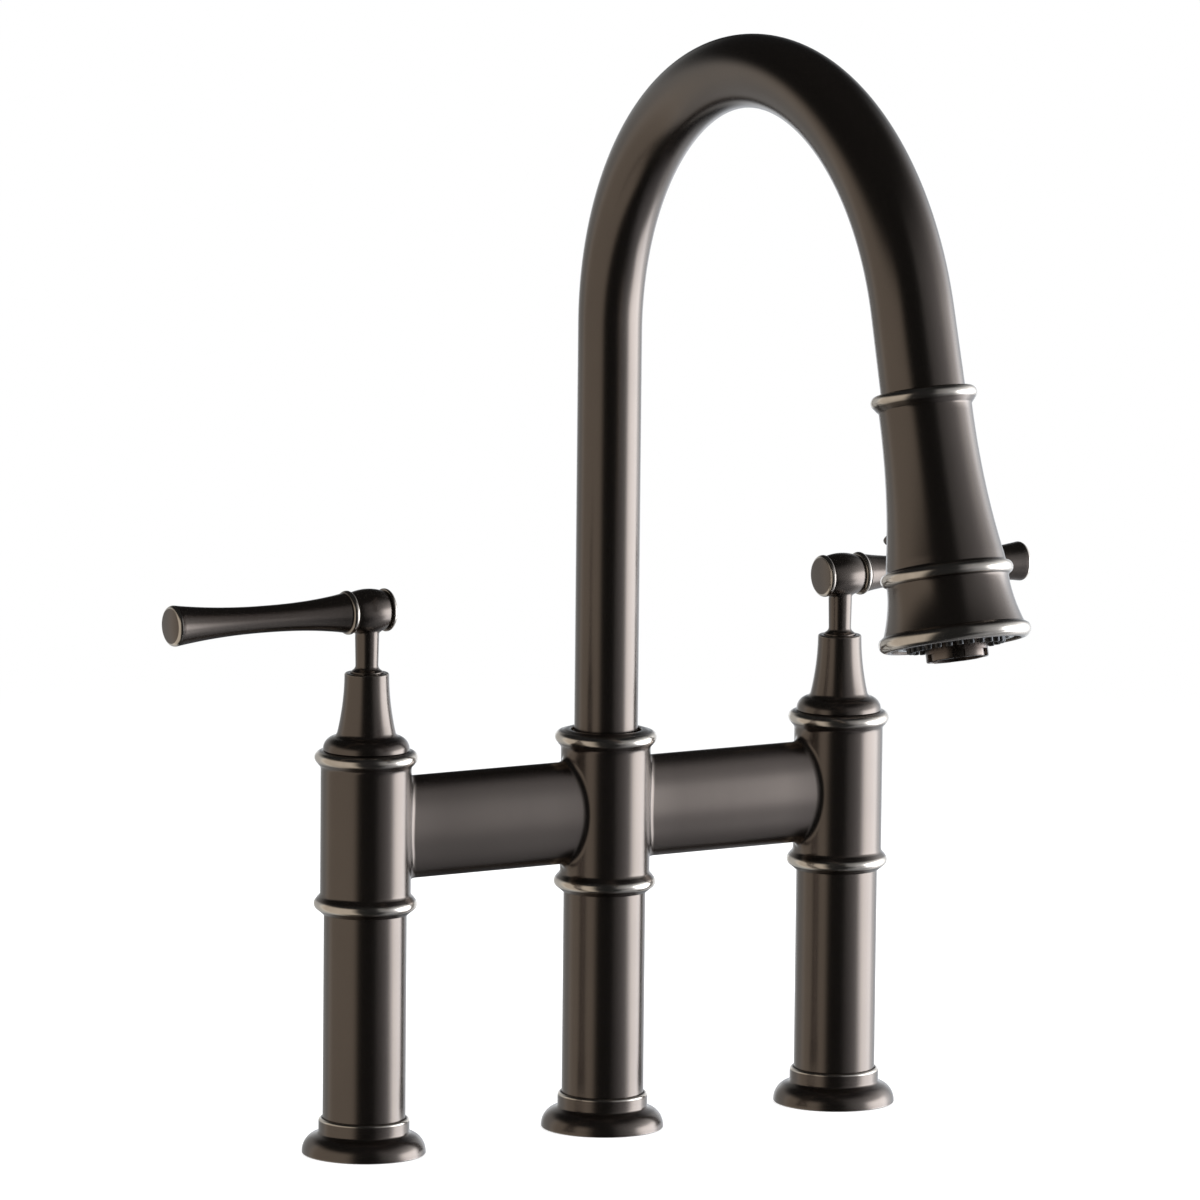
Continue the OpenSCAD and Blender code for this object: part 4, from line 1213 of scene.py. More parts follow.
@dataclass
class Handle(Assembly):
    """A valve's outside: bonnet, hub on its post, cap and lever."""

    # the bonnet: skirt, dome and cone
    skirt_r: float = 15.7
    skirt_h: float = 5.8
    cone_r: float = 10.7
    cone_curve: float = 1.9
    top_r: float = 8.1
    bonnet_top: float = 176.4
    # the post and the hub on it, with its lengths out to the lever and in to the cap
    foot_r: float = 5.8
    foot_z: float = 151.6
    post_r: float = 4.3
    hub_z: float = 198.8
    hub_r: float = 8.15
    hub_crown: float = 1.0
    hub_edge: float = 0.5
    hub_outer: float = 6.9
    hub_inner: float = 6.7
    # the lever, along its own axis from the hub, and the cap
    ring_r: float = 8.0
    ring_end: float = 10.75
    neck_r: float = 7.0
    waist_r: float = 4.85
    waist_t: float = 43.6
    tip_r: float = 7.4
    reach: float = 81.6
    cap_r: float = 7.8
    cap_w: float = 2.5

    def bonnet_outline(self) -> Outline:
        """Gives the bonnet's outline: skirt, dome, cove, cone and lip, hollow inside.

        Returns:
            The stops in order.
        """
        base, cone = self.barrel_top, self.barrel_top + self.skirt_h

        def flank(u: float) -> tuple[float, float]:
            """The cone's radius and height, from its foot to its lip."""
            return (self.top_r + (self.cone_r - self.top_r) * (1 - u) ** self.cone_curve,
                    cone + (self.bonnet_top - 0.8 - cone) * u)

        return [
            Stop(13.7, base + 0.35), Stop(14.0, base + 0.05),
            Stop(self.skirt_r - 0.45, base - 0.12, 0.1),
            *arc(self.skirt_r - 4.6, base + 0.2, 4.6, -4, 75, 18),
            *arc(self.cone_r + 2.2, cone + 1.13, 2.4, 255, 194, 9),
            *curve(22, flank)[1:],
            *arc(self.top_r - 0.7, self.bonnet_top - 0.7, 0.7, 6, 90, 8, 0.3),
            Stop(self.foot_r + 0.6, self.bonnet_top),
            Stop(self.foot_r + 0.3, self.bonnet_top - 0.3),
            Stop(self.foot_r + 0.3, self.bonnet_top - 1.8),
            Stop(self.top_r - 1.3, self.bonnet_top - 2.6),
            Stop(self.cone_r - 1.6, cone + 1.0), Stop(12.2, base + 3.4), Stop(13.7, base + 2.3),
        ]

    def hub(self) -> Shape:
        """Makes the crowned hub on its post.

        Returns:
            The hub and the post as one shape.
        """
        edge, start = self.hub_edge, self.hub_edge - self.hub_outer
        span = self.hub_outer + self.hub_inner - 2 * edge
        crown = curve(20, lambda u: (self.hub_r - self.hub_crown * (2 * u - 1) ** 2,
                                     start + span * u))
        across = placed((0, 0, self.hub_z), 90, "Y")
        shape = Shape().turn([
            Stop(0, -self.hub_outer), Stop(self.hub_r - 1.5, -self.hub_outer),
            *arc(self.hub_r - 1.55, start, edge, -88, -15, 5, 0.15), *crown[1:-1],
            *arc(self.hub_r - 1.55, self.hub_inner - edge, edge, 15, 88, 5, 0.15),
            Stop(self.hub_r - 1.5, self.hub_inner), Stop(0, self.hub_inner)], across)
        under = self.hub_z - self.hub_r
        foot, rise = self.bonnet_top + 3, under - 1.4 - self.bonnet_top - 3
        post = Shape().turn([
            Stop(0, self.foot_z), Stop(self.foot_r - 0.4, self.foot_z),
            Stop(self.foot_r, self.foot_z + 0.4),
            Stop(self.foot_r, self.bonnet_top + 0.1),
            *arc(self.foot_r - 0.4, self.bonnet_top + 0.3, 0.4, 0, 72, 6),
            *arc(self.post_r + 1.9, self.bonnet_top + 2.75, 2.05, 242, 184, 9),
            *curve(10, lambda u: (self.post_r - 0.15 + 0.2 * u, foot + rise * u)),
            *arc(self.post_r + 1.05, under - 0.5, 1.0, 178, 104, 8),
            Stop(4.9, under + 1.8), Stop(0, under + 2.4)])
        # the post's top follows the round of the hub
        for vert in post.mesh.verts:
            share = min(1.0, max(0.0, (vert.co.z - under + 2.6) / 1.6))
            vert.co.z += share * (self.hub_r - math.sqrt(self.hub_r ** 2 - vert.co.y ** 2))
        return shape.add(post)

    def lever(self) -> Shape:
        """Makes the lever: ring, waisted arm, and a flared tip with a rolled edge.

        Returns:
            The lever as a shape.
        """
        start, end = self.hub_outer + 0.05, self.reach
        neck = curve(22, lambda u: (self.waist_r + (self.neck_r - self.waist_r) * (1 - u) ** 2.4,
                                    self.ring_end + (self.waist_t - self.ring_end) * u))
        flare = curve(26, lambda u: (self.waist_r + (self.tip_r - self.waist_r) * u ** 2.05,
                                     self.waist_t + (end - 2.05 - self.waist_t) * u))
        along = placed((0, 0, self.hub_z), -90, "Y")
        return Shape().turn([
            Stop(0, start), Stop(self.ring_r - 1.15, start),
            *arc(self.ring_r - 1.35, start + 1.35, 1.35, -80, 70, 14, 0.7),
            Stop(self.neck_r + 0.12, start + 2.75),
            *arc(self.neck_r + 0.72, start + 3.3, 0.6, 215, 182, 4),
            *neck[1:], *flare[1:],
            *self.bevel(self.tip_r, end, 1.5)], along)

    @staticmethod
    def bevel(radius: float, end: float, width: float) -> Outline:
        """Gives the end of a turned piece: a rolled edge rubbed bright, then a slightly domed face.

        Args:
            radius: The piece's outer radius.
            end: Where the face's middle is.
            width: Width of the rolled edge.

        Returns:
            The stops in order.
        """
        foot = end - 0.5 - width
        turns = [math.radians(9 * k) for k in range(9)]
        edge = [Stop(radius - width * (1 - math.cos(a)), foot + width * math.sin(a),
                     1.0 if a else 0.5) for a in turns]
        inner = edge[-1].r - 0.12
        face = curve(8, lambda u: (inner * 0.985 * (1 - u), end - 0.44 * (1 - u) ** 2))
        return [*edge, Stop(inner, end - 0.46, 0.2), *face]

    def cap(self) -> Shape:
        """Makes the hub's cap: a rolled edge round a slightly domed face.

        Returns:
            The cap as a shape.
        """
        start, end = self.hub_inner + 0.05, self.hub_inner + 0.05 + self.cap_w
        across = placed((0, 0, self.hub_z), 90, "Y")
        return Shape().turn([
            Stop(0, start), Stop(self.cap_r - 0.5, start),
            Stop(self.cap_r - 0.12, start + 0.15, 0.4), Stop(self.cap_r, start + 0.4, 0.3),
            *self.bevel(self.cap_r, end, 1.35)], across)

    def build(self, side: Side) -> None:
        """Makes the outside of the valve on one side.

        Args:
            side: The side that it is on.
        """
        word, place = side.word, self.stand(side)
        body = f"{word}_handle"
        bonnet = Shape().turn(self.bonnet_outline(), place)
        self.seat(bonnet, f"{word}_valve_bonnet", "antique_steel", "base", [f"{word}_bonnet"])
        for shape, piece, node in ((self.hub(), "hub", "handle_hub"),
                                   (self.lever(), "lever_arm", "lever"),
                                   (self.cap(), "cap", "hub_cap")):
            self.seat(Shape().add(shape, place), f"{word}_{piece}", "antique_steel", body,
                      [f"{word}_{node}"])


@dataclass
class Gooseneck(Assembly):
    """The spout: one tube up, over the arch and down to the head, flaring all the way."""

    foot: float = 146.05
    arch_z: float = 296.4
    arch_r: float = 102.0
    arch_angle: float = 165.0
    end_run: float = 30.4
    riser_r: float = 11.7
    wall: float = 1.5
    stations: int = 170
    sides: int = 96

    def build(self) -> None:
        """Makes the tube with Geometry Nodes, and closes its two ends."""
        shape = swept_tube_tree().build({
            "Foot": self.foot, "Arch start": self.arch_z, "Arch radius": self.arch_r,
            "Arch angle": math.radians(self.arch_angle), "End run": self.end_run,
            "Riser radius": self.riser_r, "End radius": self.end_r, "Wall": self.wall,
            "Stations": self.stations, "Sides": self.sides,
            "Material": self.palette.antique_steel})
        shape.tidy()
        edges = [e for e in shape.mesh.edges if e.is_boundary]
        for low in (True, False):
            bmesh.ops.bridge_loops(shape.mesh, edges=[
                e for e in edges if (e.verts[0].co.z < self.foot + 1) is low])
        self.seat(shape, "gooseneck", "antique_steel", "spout", ["gooseneck_tube"])


@dataclass
class Hose(Assembly):
    """The braided hose that shows when the head is pulled out."""

    radius: float = 5.5
    travel: float = 60.0
    strands: int = 20
    turns: float = 2.4
    strand_r: float = 0.36
    weave: float = 0.1
    inside: float = 7.0

    def build(self, place: Matrix) -> None:
        """Makes the sleeve with Geometry Nodes, round a plain liner.

        Args:
            place: The head's place.
        """
        length, liner = self.travel + self.inside, self.radius - 0.5
        braid = braid_tree().build({
            "Length": length - 0.8, "Radius": self.radius - 0.42, "Turns": self.turns,
            "Strands": self.strands, "Steps": self.strands * 6, "Strand size": self.strand_r,
            "Weave": self.weave, "Material": self.palette.braided_hose})
        down = place @ Matrix.Translation((0, 0, -self.travel))
        shape = Shape().add(braid, down @ Matrix.Translation((0, 0, 0.4)))
        shape.turn([Stop(0, 0), Stop(liner, 0), Stop(liner, length), Stop(0, length)], down, 48)
        self.seat(shape, "braided_spray_hose", "braided_hose", "spray_head", ["head_hose"],
                  sharp=60)


@dataclass
class SprayHead(Assembly):
    """The pull-down head: shell, rocker, bezel, nozzles and aerator, along its own axis s."""

    # where the spout ends, and how far the head's axis is turned over from upright
    origin: tuple[float, float, float] = (0.0, -208.34077, 293.62858)
    tilt: float = 165.0
    # the shell: collar, flaring body, bead, skirt and rim, and its bores
    collar_r: float = 18.7
    flare_start: float = 4.5
    neck_r: float = 16.3
    low_r: float = 20.7
    bead_r: float = 23.2
    bead_s: float = 61.8
    rim_r: float = 26.7
    rim_s: float = 83.8
    shell_bore: float = 14.2
    nose_bore: float = 11.1
    # the rocker on its pin: its plan, its face and the gaps round it in its window
    pin_s: float = 35.0
    pin_y: float = -12.0
    rocker_w: float = 17.4
    rocker_len: float = 36.0
    rocker_corner: float = 7.0
    rocker_rest: float = 8.0
    rocker_under: float = 3.3
    rocker_ease: float = 0.55
    rocker_crown: float = 1.1
    rocker_insets: tuple[float, ...] = (0.0, 0.04, 0.12, 0.25, 0.4, 0.55, 0.9, 1.6, 2.5, 3.4, 4.4,
                                        5.4, 6.4)
    lobe_h: float = 5.1
    upper_lobe: float = 0.7
    lower_at: float = 0.36
    upper_at: float = -0.38
    lobe_reach: float = 0.12
    saddle: float = -0.4
    side_gap: float = 0.3
    end_gap: float = 1.2
    window_near: float = 9.5
    window_far: float = 39.5
    # the rubber nozzles in their circle
    nozzles: int = 26
    nozzle_circle: float = 16.0
    nozzle_r: float = 1.3
    nozzle_h: float = 2.2
    nozzle_hole: float = 0.42
    # the aerator: its shell with the key notches, and the honeycomb's cells
    aerator_r: float = 10.9
    aerator_start: float = 70.1
    aerator_end: float = 91.7
    aerator_stem: float = 9.4
    aerator_way: float = 7.6
    notches: int = 6
    notch_half: float = 2.2
    notch_deep: float = 0.9
    notch_len: float = 2.59
    cell_pitch: float = 2.24
    cell_hole: float = 1.02
    cell_r: float = 1.28
    cell_deep: float = 1.8

    @property
    def place(self) -> Matrix:
        """The head's place: its axis leads down from the end of the spout."""
        return placed(self.origin, self.tilt, "X")

    @property
    def flare_end(self) -> float:
        """Where the flaring body meets the bead."""
        return self.bead_s - 4.6

    @property
    def face_s(self) -> float:
        """Where the spray face lies."""
        return self.rim_s + 2.4

    def body_r(self, s: float) -> float:
        """The body's radius at a distance from the collar."""
        share = max(0.0, (s - self.flare_start) / (self.flare_end - self.flare_start))
        return self.neck_r + (self.low_r - self.neck_r) * share ** 2.1

    def skirt_r(self, s: float) -> float:
        """The skirt's radius at a distance from the collar."""
        share = max(0.0, (s - self.bead_s - 3.4) / (self.rim_s - self.bead_s - 6))
        return self.low_r + 0.6 + (self.rim_r - 2.7 - self.low_r) * share ** 1.7

    def shell_outline(self) -> Outline:
        """Gives the shell's outline: collar, flare, bead, skirt, rolled rim and the inside.

        Returns:
            The stops in order.
        """
        face = self.face_s
        start, span = self.flare_start, self.flare_end - self.flare_start
        flare = curve(30, lambda u: (self.body_r(start + span * u), start + span * u))
        below, drop = self.bead_s + 3.6, self.rim_s - self.bead_s - 6.4
        skirt = curve(16, lambda u: (self.skirt_r(below + drop * u), below + drop * u))
        return [
            Stop(self.end_r + 0.45, 0.6), Stop(self.end_r + 0.45, -1.9),
            Stop(self.end_r + 0.75, -2.2),
            *arc(self.collar_r - 2.3, 0, 2.3, -88, 50, 18, 1.0),
            *arc(self.neck_r + 1.3, 4.2, 1.3, 235, 186, 7),
            *flare[1:],
            *arc(self.low_r + 1.05, self.bead_s - 3.15, 0.9, 172, 106, 8),
            *arc(self.bead_r - 2.4, self.bead_s, 2.4, -72, 64, 18, 1.0),
            *arc(self.low_r + 1.5, self.bead_s + 3.0, 0.9, 244, 183, 7),
            *skirt,
            *arc(self.rim_r - 2.9, self.rim_s, 2.9, -36, 90, 18, 1.0),
            Stop(self.rim_r - 3.6, face + 0.6), Stop(self.rim_r - 4.0, face + 0.2),
            Stop(self.rim_r - 4.0, face - 3.2), Stop(self.rim_r - 5.4, face - 3.2),
            Stop(self.rim_r - 5.4, self.rim_s - 8), Stop(19.0, self.bead_s + 5),
            Stop(17.7, self.bead_s - 1.2),
            Stop(self.shell_bore + 0.6, self.flare_end), Stop(self.shell_bore, self.flare_end - 12),
            Stop(self.shell_bore, 7.8), Stop(self.nose_bore, 7.6), Stop(self.nose_bore, 0.6),
        ]

    def window(self) -> Shape:
        """Makes the tool that cuts the rocker's window.

        Returns:
            The tool as a shape.
        """
        shape = Shape()
        plan = rounded_plan(self.rocker_w + 2 * self.side_gap, self.rocker_len + 2 * self.end_gap,
                            self.rocker_corner)
        near, far = ([shape.point(Vector((x, -depth, self.pin_s + z)), 0.0) for x, z in plan]
                     for depth in (self.window_near, self.window_far))
        shape.skin([near, far])
        shape.mesh.faces.new(near)
        shape.mesh.faces.new(list(reversed(far)))
        return shape

    def lobe(self, v: float) -> float:
        """The height of the rocker's face above the body, at v along the head from its pin.

        Args:
            v: The place along the head, in mm.

        Returns:
            The height in mm.
        """
        at, high = ((self.lower_at, self.lobe_h) if v > 0
                    else (self.upper_at, self.upper_lobe * self.lobe_h))
        reach, off = self.lobe_reach * self.rocker_len, v - at * self.rocker_len
        if abs(off) > reach:
            return self.saddle
        share = (1 + math.cos(math.pi * off / reach)) / 2
        return self.saddle + (high - self.saddle) * share

    def rocker(self) -> Shape:
        """Makes the rocker: two low lobes over a rounded plan, crowned across, edges eased.

        Returns:
            The rocker as a shape.
        """
        half, ease = self.rocker_len / 2, self.rocker_ease
        slope = (self.body_r(self.pin_s + half) - self.body_r(self.pin_s - half)) / self.rocker_len
        tilt = placed((0, self.pin_y, self.pin_s), self.rocker_rest, "X")
        shape = Shape()

        def aside(x: float) -> float:
            """How near a point is to the rocker's side, squared: 0 in the middle, 1 at it."""
            return (2 * x / self.rocker_w) ** 2

        def underside(x: float) -> float:
            """The underside's distance from the pin, less towards the sides."""
            return self.rocker_under - 0.9 * aside(x)

        def top(x: float, v: float, inset: float) -> float:
            """Works out the face's distance from the pin, with its edge eased.

            Args:
                x: Place across the rocker.
                v: Place along it.
                inset: Distance from its edge.

            Returns:
                The distance.
            """
            level = self.body_r(self.pin_s) + slope * v + self.pin_y + self.lobe(v)
            level -= self.rocker_crown * aside(x)
            drop = ease - math.sqrt(max(0.0, ease ** 2 - (ease - min(inset, ease)) ** 2))
            return max(underside(x) + 0.1, level - drop)

        def plan(inset: float) -> list[tuple[float, float]]:
            """The rocker's plan, drawn in by an inset."""
            return rounded_plan(self.rocker_w - 2 * inset, self.rocker_len - 2 * inset,
                                self.rocker_corner - inset, 14)

        rings = [[shape.point(tilt @ Vector((0.2 * x, -self.rocker_under, 0.2 * v)), v)
                  for x, v in plan(0.0)],
                 [shape.point(tilt @ Vector((x, -underside(x), v)), v) for x, v in plan(0.0)]]
        for inset in self.rocker_insets:
            rub = 0.6 if 0.1 < inset < 0.6 else 0.0
            rings.append([shape.point(tilt @ Vector((x, -top(x, v, inset), v)), v, rub)
                          for x, v in plan(inset)])
        for shrink in (0.6, 0.25):
            rings.append([shape.point(tilt @ Vector((x * shrink, -top(x * shrink, v, ease), v)), v)
                          for x, v in plan(self.rocker_insets[-1])])
        shape.skin(rings)
        shape.mesh.faces.new(rings[0])
        self.close_strip(shape, rings[-1])
        return shape

    @staticmethod
    def close_strip(shape: Shape, loop: Sequence[bmesh.types.BMVert]) -> None:
        """Closes a long narrow loop with faces straight across it.

        Args:
            shape: The shape that the loop belongs to.
            loop: The loop's points in order.
        """
        n = len(loop)
        start = n // 4
        for i in range(n // 2 - 1):
            a, b = loop[(start - 1 - i) % n], loop[(start - 2 - i) % n]
            c, d = loop[(start + 1 + i) % n], loop[(start + i) % n]
            if len({a, b, c, d}) == 4:
                shape.mesh.faces.new([a, b, c, d])

    def nozzle(self) -> Shape:
        """Makes one rubber nozzle: a soft cone with its water hole, base at height 0.

        Returns:
            The nozzle as a shape.
        """
        r, h, hole = self.nozzle_r, self.nozzle_h, self.nozzle_hole
        return Shape().turn([
            Stop(0, -0.3), Stop(r + 0.2, -0.3), Stop(r + 0.2, 0.0), Stop(r, 0.3),
            Stop(r - 0.06, h - 0.5), Stop(r - 0.2, h - 0.15), Stop(r - 0.5, h), Stop(hole, h),
            Stop(hole - 0.06, h - 1.0), Stop(0, h - 1.0)], segments=18)

    def face(self) -> None:
        """Makes the spray face: bezel, nozzle plate and nozzles."""
        face, outer = self.face_s, self.rim_r - 4.1
        inner = self.nozzle_circle + 2.6
        bezel = Shape().turn([
            Stop(inner, face - 3), Stop(outer, face - 3), Stop(outer, face - 1.7),
            Stop(outer - 0.2, face - 1.35), Stop(inner + 1.7, face - 0.08), Stop(inner + 1.3, face),
            Stop(inner + 0.25, face), Stop(inner, face - 0.25)], self.place)
        self.seat(bezel, "spray_face_bezel", "bright_steel", "spray_head", ["face_bezel"])
        hole, groove = self.aerator_r + 0.1, self.nozzle_circle
        plate = Shape().turn([
            Stop(hole, face - 6), Stop(inner - 0.1, face - 6), Stop(inner - 0.1, face - 0.6),
            Stop(inner - 0.35, face - 0.4), Stop(groove + 1.75, face - 0.4),
            Stop(groove + 1.55, face - 0.75), Stop(groove - 1.55, face - 0.75),
            Stop(groove - 1.75, face - 0.4), Stop(hole + 0.25, face - 0.4),
            Stop(hole, face - 0.65)], segments=104)
        ring = ring_of_copies_tree().build_copies(self.nozzle(), {
            "Count": self.nozzles, "Circle radius": self.nozzle_circle,
            "Start angle": math.pi / self.nozzles, "Material": self.palette.black_rubber})
        plate.add(ring, Matrix.Translation((0, 0, face - 0.6)))
        self.seat(Shape().add(plate, self.place), "nozzle_plate_with_nozzles", "black_rubber",
                  "spray_head", ["nozzle_plate"])

    def aerator(self) -> None:
        """Makes the aerator: notched housing and the honeycomb across its mouth."""
        end, r = self.aerator_end, self.aerator_r
        half, step = math.degrees(math.asin(self.notch_half / r)), 360 / self.notches
        angles = []
        for k in range(self.notches):
            c = step * k
            angles += [c - half - 0.25, c - half + 0.25, c - half / 2, c, c + half / 2,
                       c + half - 0.25, c + half + 0.25]
            angles += [c + half + (step - 2 * half) * i / 7 for i in range(1, 7)]

        def notch(radius: float, z: float, angle: float) -> float:
            """Sets the wall back in the key notches.

            Args:
                radius: The wall's radius.
                z: Its height.
                angle: Its angle in degrees.

            Returns:
                The radius there.
            """
            near = abs((angle + step / 2) % step - step / 2)
            cut = radius > r - 0.6 and z > end - self.notch_len and near < half
            return radius - self.notch_deep if cut else radius

        way, stem, start = self.aerator_way, self.aerator_stem, self.aerator_start
        housing = Shape().turn([
            Stop(way, start), Stop(stem, start), Stop(stem, start + 4), Stop(r, start + 4),
            Stop(r, end - 2.6), Stop(r, end - 2.55), Stop(r, end - 0.45, 0.3),
            Stop(r - 0.12, end - 0.15), Stop(r - 0.45, end), Stop(r - 1.3, end),
            Stop(r - 1.6, end - 0.3), Stop(r - 1.6, 78), Stop(way, 78)],
            self.place, angles=angles, dent=notch)
        self.seat(housing, "aerator_shell", "dark_plastic", "spray_head", ["aerator_housing"],
                  sharp=28, finish="coated_plastic")
        inside = r - 1.7
        hole, wall, deep = self.cell_hole, self.cell_r, self.cell_deep
        cell = Shape().turn([Stop(hole, 0), Stop(wall, 0), Stop(wall, deep), Stop(hole, deep)],
                            segments=6)
        spots = []
        for q in range(-4, 5):
            for k in range(-4, 5):
                x, y = self.cell_pitch * (q + k / 2), self.cell_pitch * k * math.sqrt(3) / 2
                if math.hypot(x, y) < inside - 1.25:
                    spots.append(Vector((y, x, 0)))
        comb = copies_at_points_tree().build_copies(
            cell, {"Material": self.palette.dark_plastic}, spots)
        insert = Shape().add(comb, Matrix.Translation((0, 0, end - 3.2)))
        insert.turn([
            Stop(inside - 1.0, end - 6), Stop(inside, end - 6), Stop(inside, end - 1.4),
            Stop(inside - 0.25, end - 1.2), Stop(inside - 0.7, end - 1.2),
            Stop(inside - 1.0, end - 1.6)])
        insert.turn([Stop(0, end - 6), Stop(inside - 0.5, end - 6), Stop(inside - 0.5, end - 4.4),
                     Stop(0, end - 4.4)])
        self.seat(Shape().add(insert, self.place), "aerator_honeycomb", "dark_plastic",
                  "spray_head", ["aerator_insert"])

    def build(self) -> None:
        """Makes the whole head."""
        shell = Shape().turn(self.shell_outline(), segments=ROUND + 16).cut(self.window())
        for vert in shell.mesh.verts:
            vert[shell.along] = vert.co.z
        self.seat(Shape().add(shell, self.place), "spray_head_shell", "antique_steel",
                  "spray_head", ["head_shell"])
        self.seat(Shape().add(self.rocker(), self.place), "spray_rocker_button", "antique_steel",
                  "rocker", ["spray_rocker"], sharp=40)
        self.face()
        self.aerator()
        Hose(self.palette).build(self.place)


def dress_inner_pieces(palette: Palette) -> None:
    """Gives every CAD node that stays its finish from the record's slots.

    Args:
        palette: The finishes.
    """
    slots = {part["node"]: part["material_slot"] for part in frame["record"]["subparts"]}
    for name, thing in frame["nodes"].items():
        if name not in slots or thing.type != "MESH":
            continue
        material = palette.of(slots[name])
        thing.data.materials.clear()
        thing.data.materials.append(material)
        LOG.info("%s: CAD piece finished in %s", name, material.name)


# ------------------------------------------------------------------ studio


@dataclass(frozen=True)
class Panel:
    """A soft-edged patch of light on the reflector tent.

    Bearings are measured from the camera's direction, turning right, and heights from the
    level of the tent's middle, both in degrees. light is the linear radiance that it adds.
    """

    bearing: float
    half_width: float
    side_edge: float
    height: float
    half_height: float
    level_edge: float
    light: tuple[float, float, float]


@dataclass
class Studio:
    """Camera, floor, lamps and the reflector tent round the faucet.

    The tent is a large globe that only the metal sees: a dim warm reflector on the left, a
    black flag in front, a bright cool soft box on the right and darkness overhead.
    """

    azimuth: float = -31.514
    elevation: float = 8.219
    roll: float = 0.572
    distance: float = 3555.0
    shift_x: float = -2.682
    centre_z: float = 196.054
    lens: float = 291.186
    sensor: float = 36.0
    clip_end: float = 50.0
    # lengths from here on are in metres
    tent_r: float = 1.25
    tent_z: float = 0.2
    tent_shade: tuple[float, float, float] = (0.016, 0.017, 0.018)
    tent_step: int = 6
    soft_light: float = 0.45
    floor_half: float = 4.0
    floor_z: float = -0.0002
    floor_tone: tuple[float, float, float, float] = (0.8, 0.8, 0.8, 1.0)
    floor_glow: float = 0.6
    fade_start: float = 0.35
    fade_end: float = 1.1
    aim: tuple[float, float, float] = (0.0, -0.05, 0.15)
    # bearing, half width and soft edge across; height, half height and soft edge; light
    panels: tuple[Panel, ...] = (
        # reflector cloths that fill the left side up to head height: warm in front, grey behind
        Panel(-68, 43, 9, -20, 44, 10, (0.49, 0.455, 0.405)),
        Panel(-138, 32, 9, -22, 44, 10, (0.455, 0.47, 0.475)),
        # the white wall behind the faucet
        Panel(178, 22, 12, -8, 14, 8, (0.85, 0.90, 0.96)),
        # grey fill that grows to the right of the black flag
        Panel(85, 57, 7, 12, 32, 14, (0.20, 0.21, 0.225)),
        Panel(98, 48, 18, -18, 46, 26, (0.33, 0.355, 0.395)),
        # the main soft box and the glow of its cloth
        Panel(95, 25, 7, -4, 13, 6, (2.95, 3.15, 3.45)),
        Panel(100, 20, 6, -26, 9, 5, (2.5, 2.7, 3.0)),
        Panel(106, 27, 14, -2, 26, 22, (1.0, 1.07, 1.16)),
        # what it throws on the wall at the far right
        Panel(140, 28, 18, -12, 36, 10, (0.58, 0.61, 0.65)),
    )

    def camera(self) -> None:
        """Sets the camera at the photograph's viewing angle."""
        a, e, r = (math.radians(v) for v in (self.azimuth, self.elevation, self.roll))
        back = Vector((math.sin(a) * math.cos(e), -math.cos(a) * math.cos(e), math.sin(e)))
        right = Vector((math.cos(a), math.sin(a), 0))
        up = back.cross(right)
        level = right * math.cos(r) + up * math.sin(r)
        top = up * math.cos(r) - right * math.sin(r)
        spot = (right * self.shift_x + Vector((0, 0, self.centre_z)) + back * self.distance) * MM
        lens = bpy.data.cameras.new("view")
        lens.lens, lens.sensor_width, lens.clip_end = self.lens, self.sensor, self.clip_end
        thing = new_object("view", lens)
        thing.matrix_world = Matrix((
            (level.x, top.x, back.x, spot.x), (level.y, top.y, back.y, spot.y),
            (level.z, top.z, back.z, spot.z), (0, 0, 0, 1)))
        bpy.context.scene.camera = thing

    def seen_directly(self, tree: Tree) -> Socket:
        """Gives 1 for rays from the camera, a reflection or through glass, else 0.

        Args:
            tree: The tree that gets the nodes.

        Returns:
            The test's result.
        """
        path = add_node(tree, "ShaderNodeLightPath")
        both = math_node(tree, "MAXIMUM", path.outputs["Is Camera Ray"],
                         path.outputs["Is Glossy Ray"])
        return math_node(tree, "MAXIMUM", both, path.outputs["Is Transmission Ray"])

    def soft_step(self, tree: Tree, value: Socket, start: float, end: float,
                  falls: bool = False) -> Socket:
        """Runs smoothly from 0 to 1 between two values, or from 1 to 0.

        Args:
            tree: The tree that gets the node.
            value: What is measured.
            start: The value at which the step begins.
            end: The value at which it ends.
            falls: Whether it runs from 1 to 0.

        Returns:
            The step.
        """
        return add_node(tree, "ShaderNodeMapRange", {"interpolation_type": "SMOOTHSTEP"}, {
            "Value": value, "From Min": start, "From Max": end, "To Min": 1.0 if falls else 0.0,
            "To Max": 0.0 if falls else 1.0}).outputs[0]

    def world(self) -> None:
        """Makes the white background and the soft light that comes from all round."""
        world = bpy.data.worlds.new("white_studio")
        bpy.context.scene.world = world
        tree = blank_tree(world)
        soft, white = (add_node(tree, "ShaderNodeBackground", None,
                                {"Color": WHITE, "Strength": strength}).outputs[0]
                       for strength in (self.soft_light, 1.0))
        mix = add_node(tree, "ShaderNodeMixShader", None,
                       {0: self.seen_directly(tree), 1: soft, 2: white})
        add_node(tree, "ShaderNodeOutputWorld", None, {0: mix.outputs[0]})

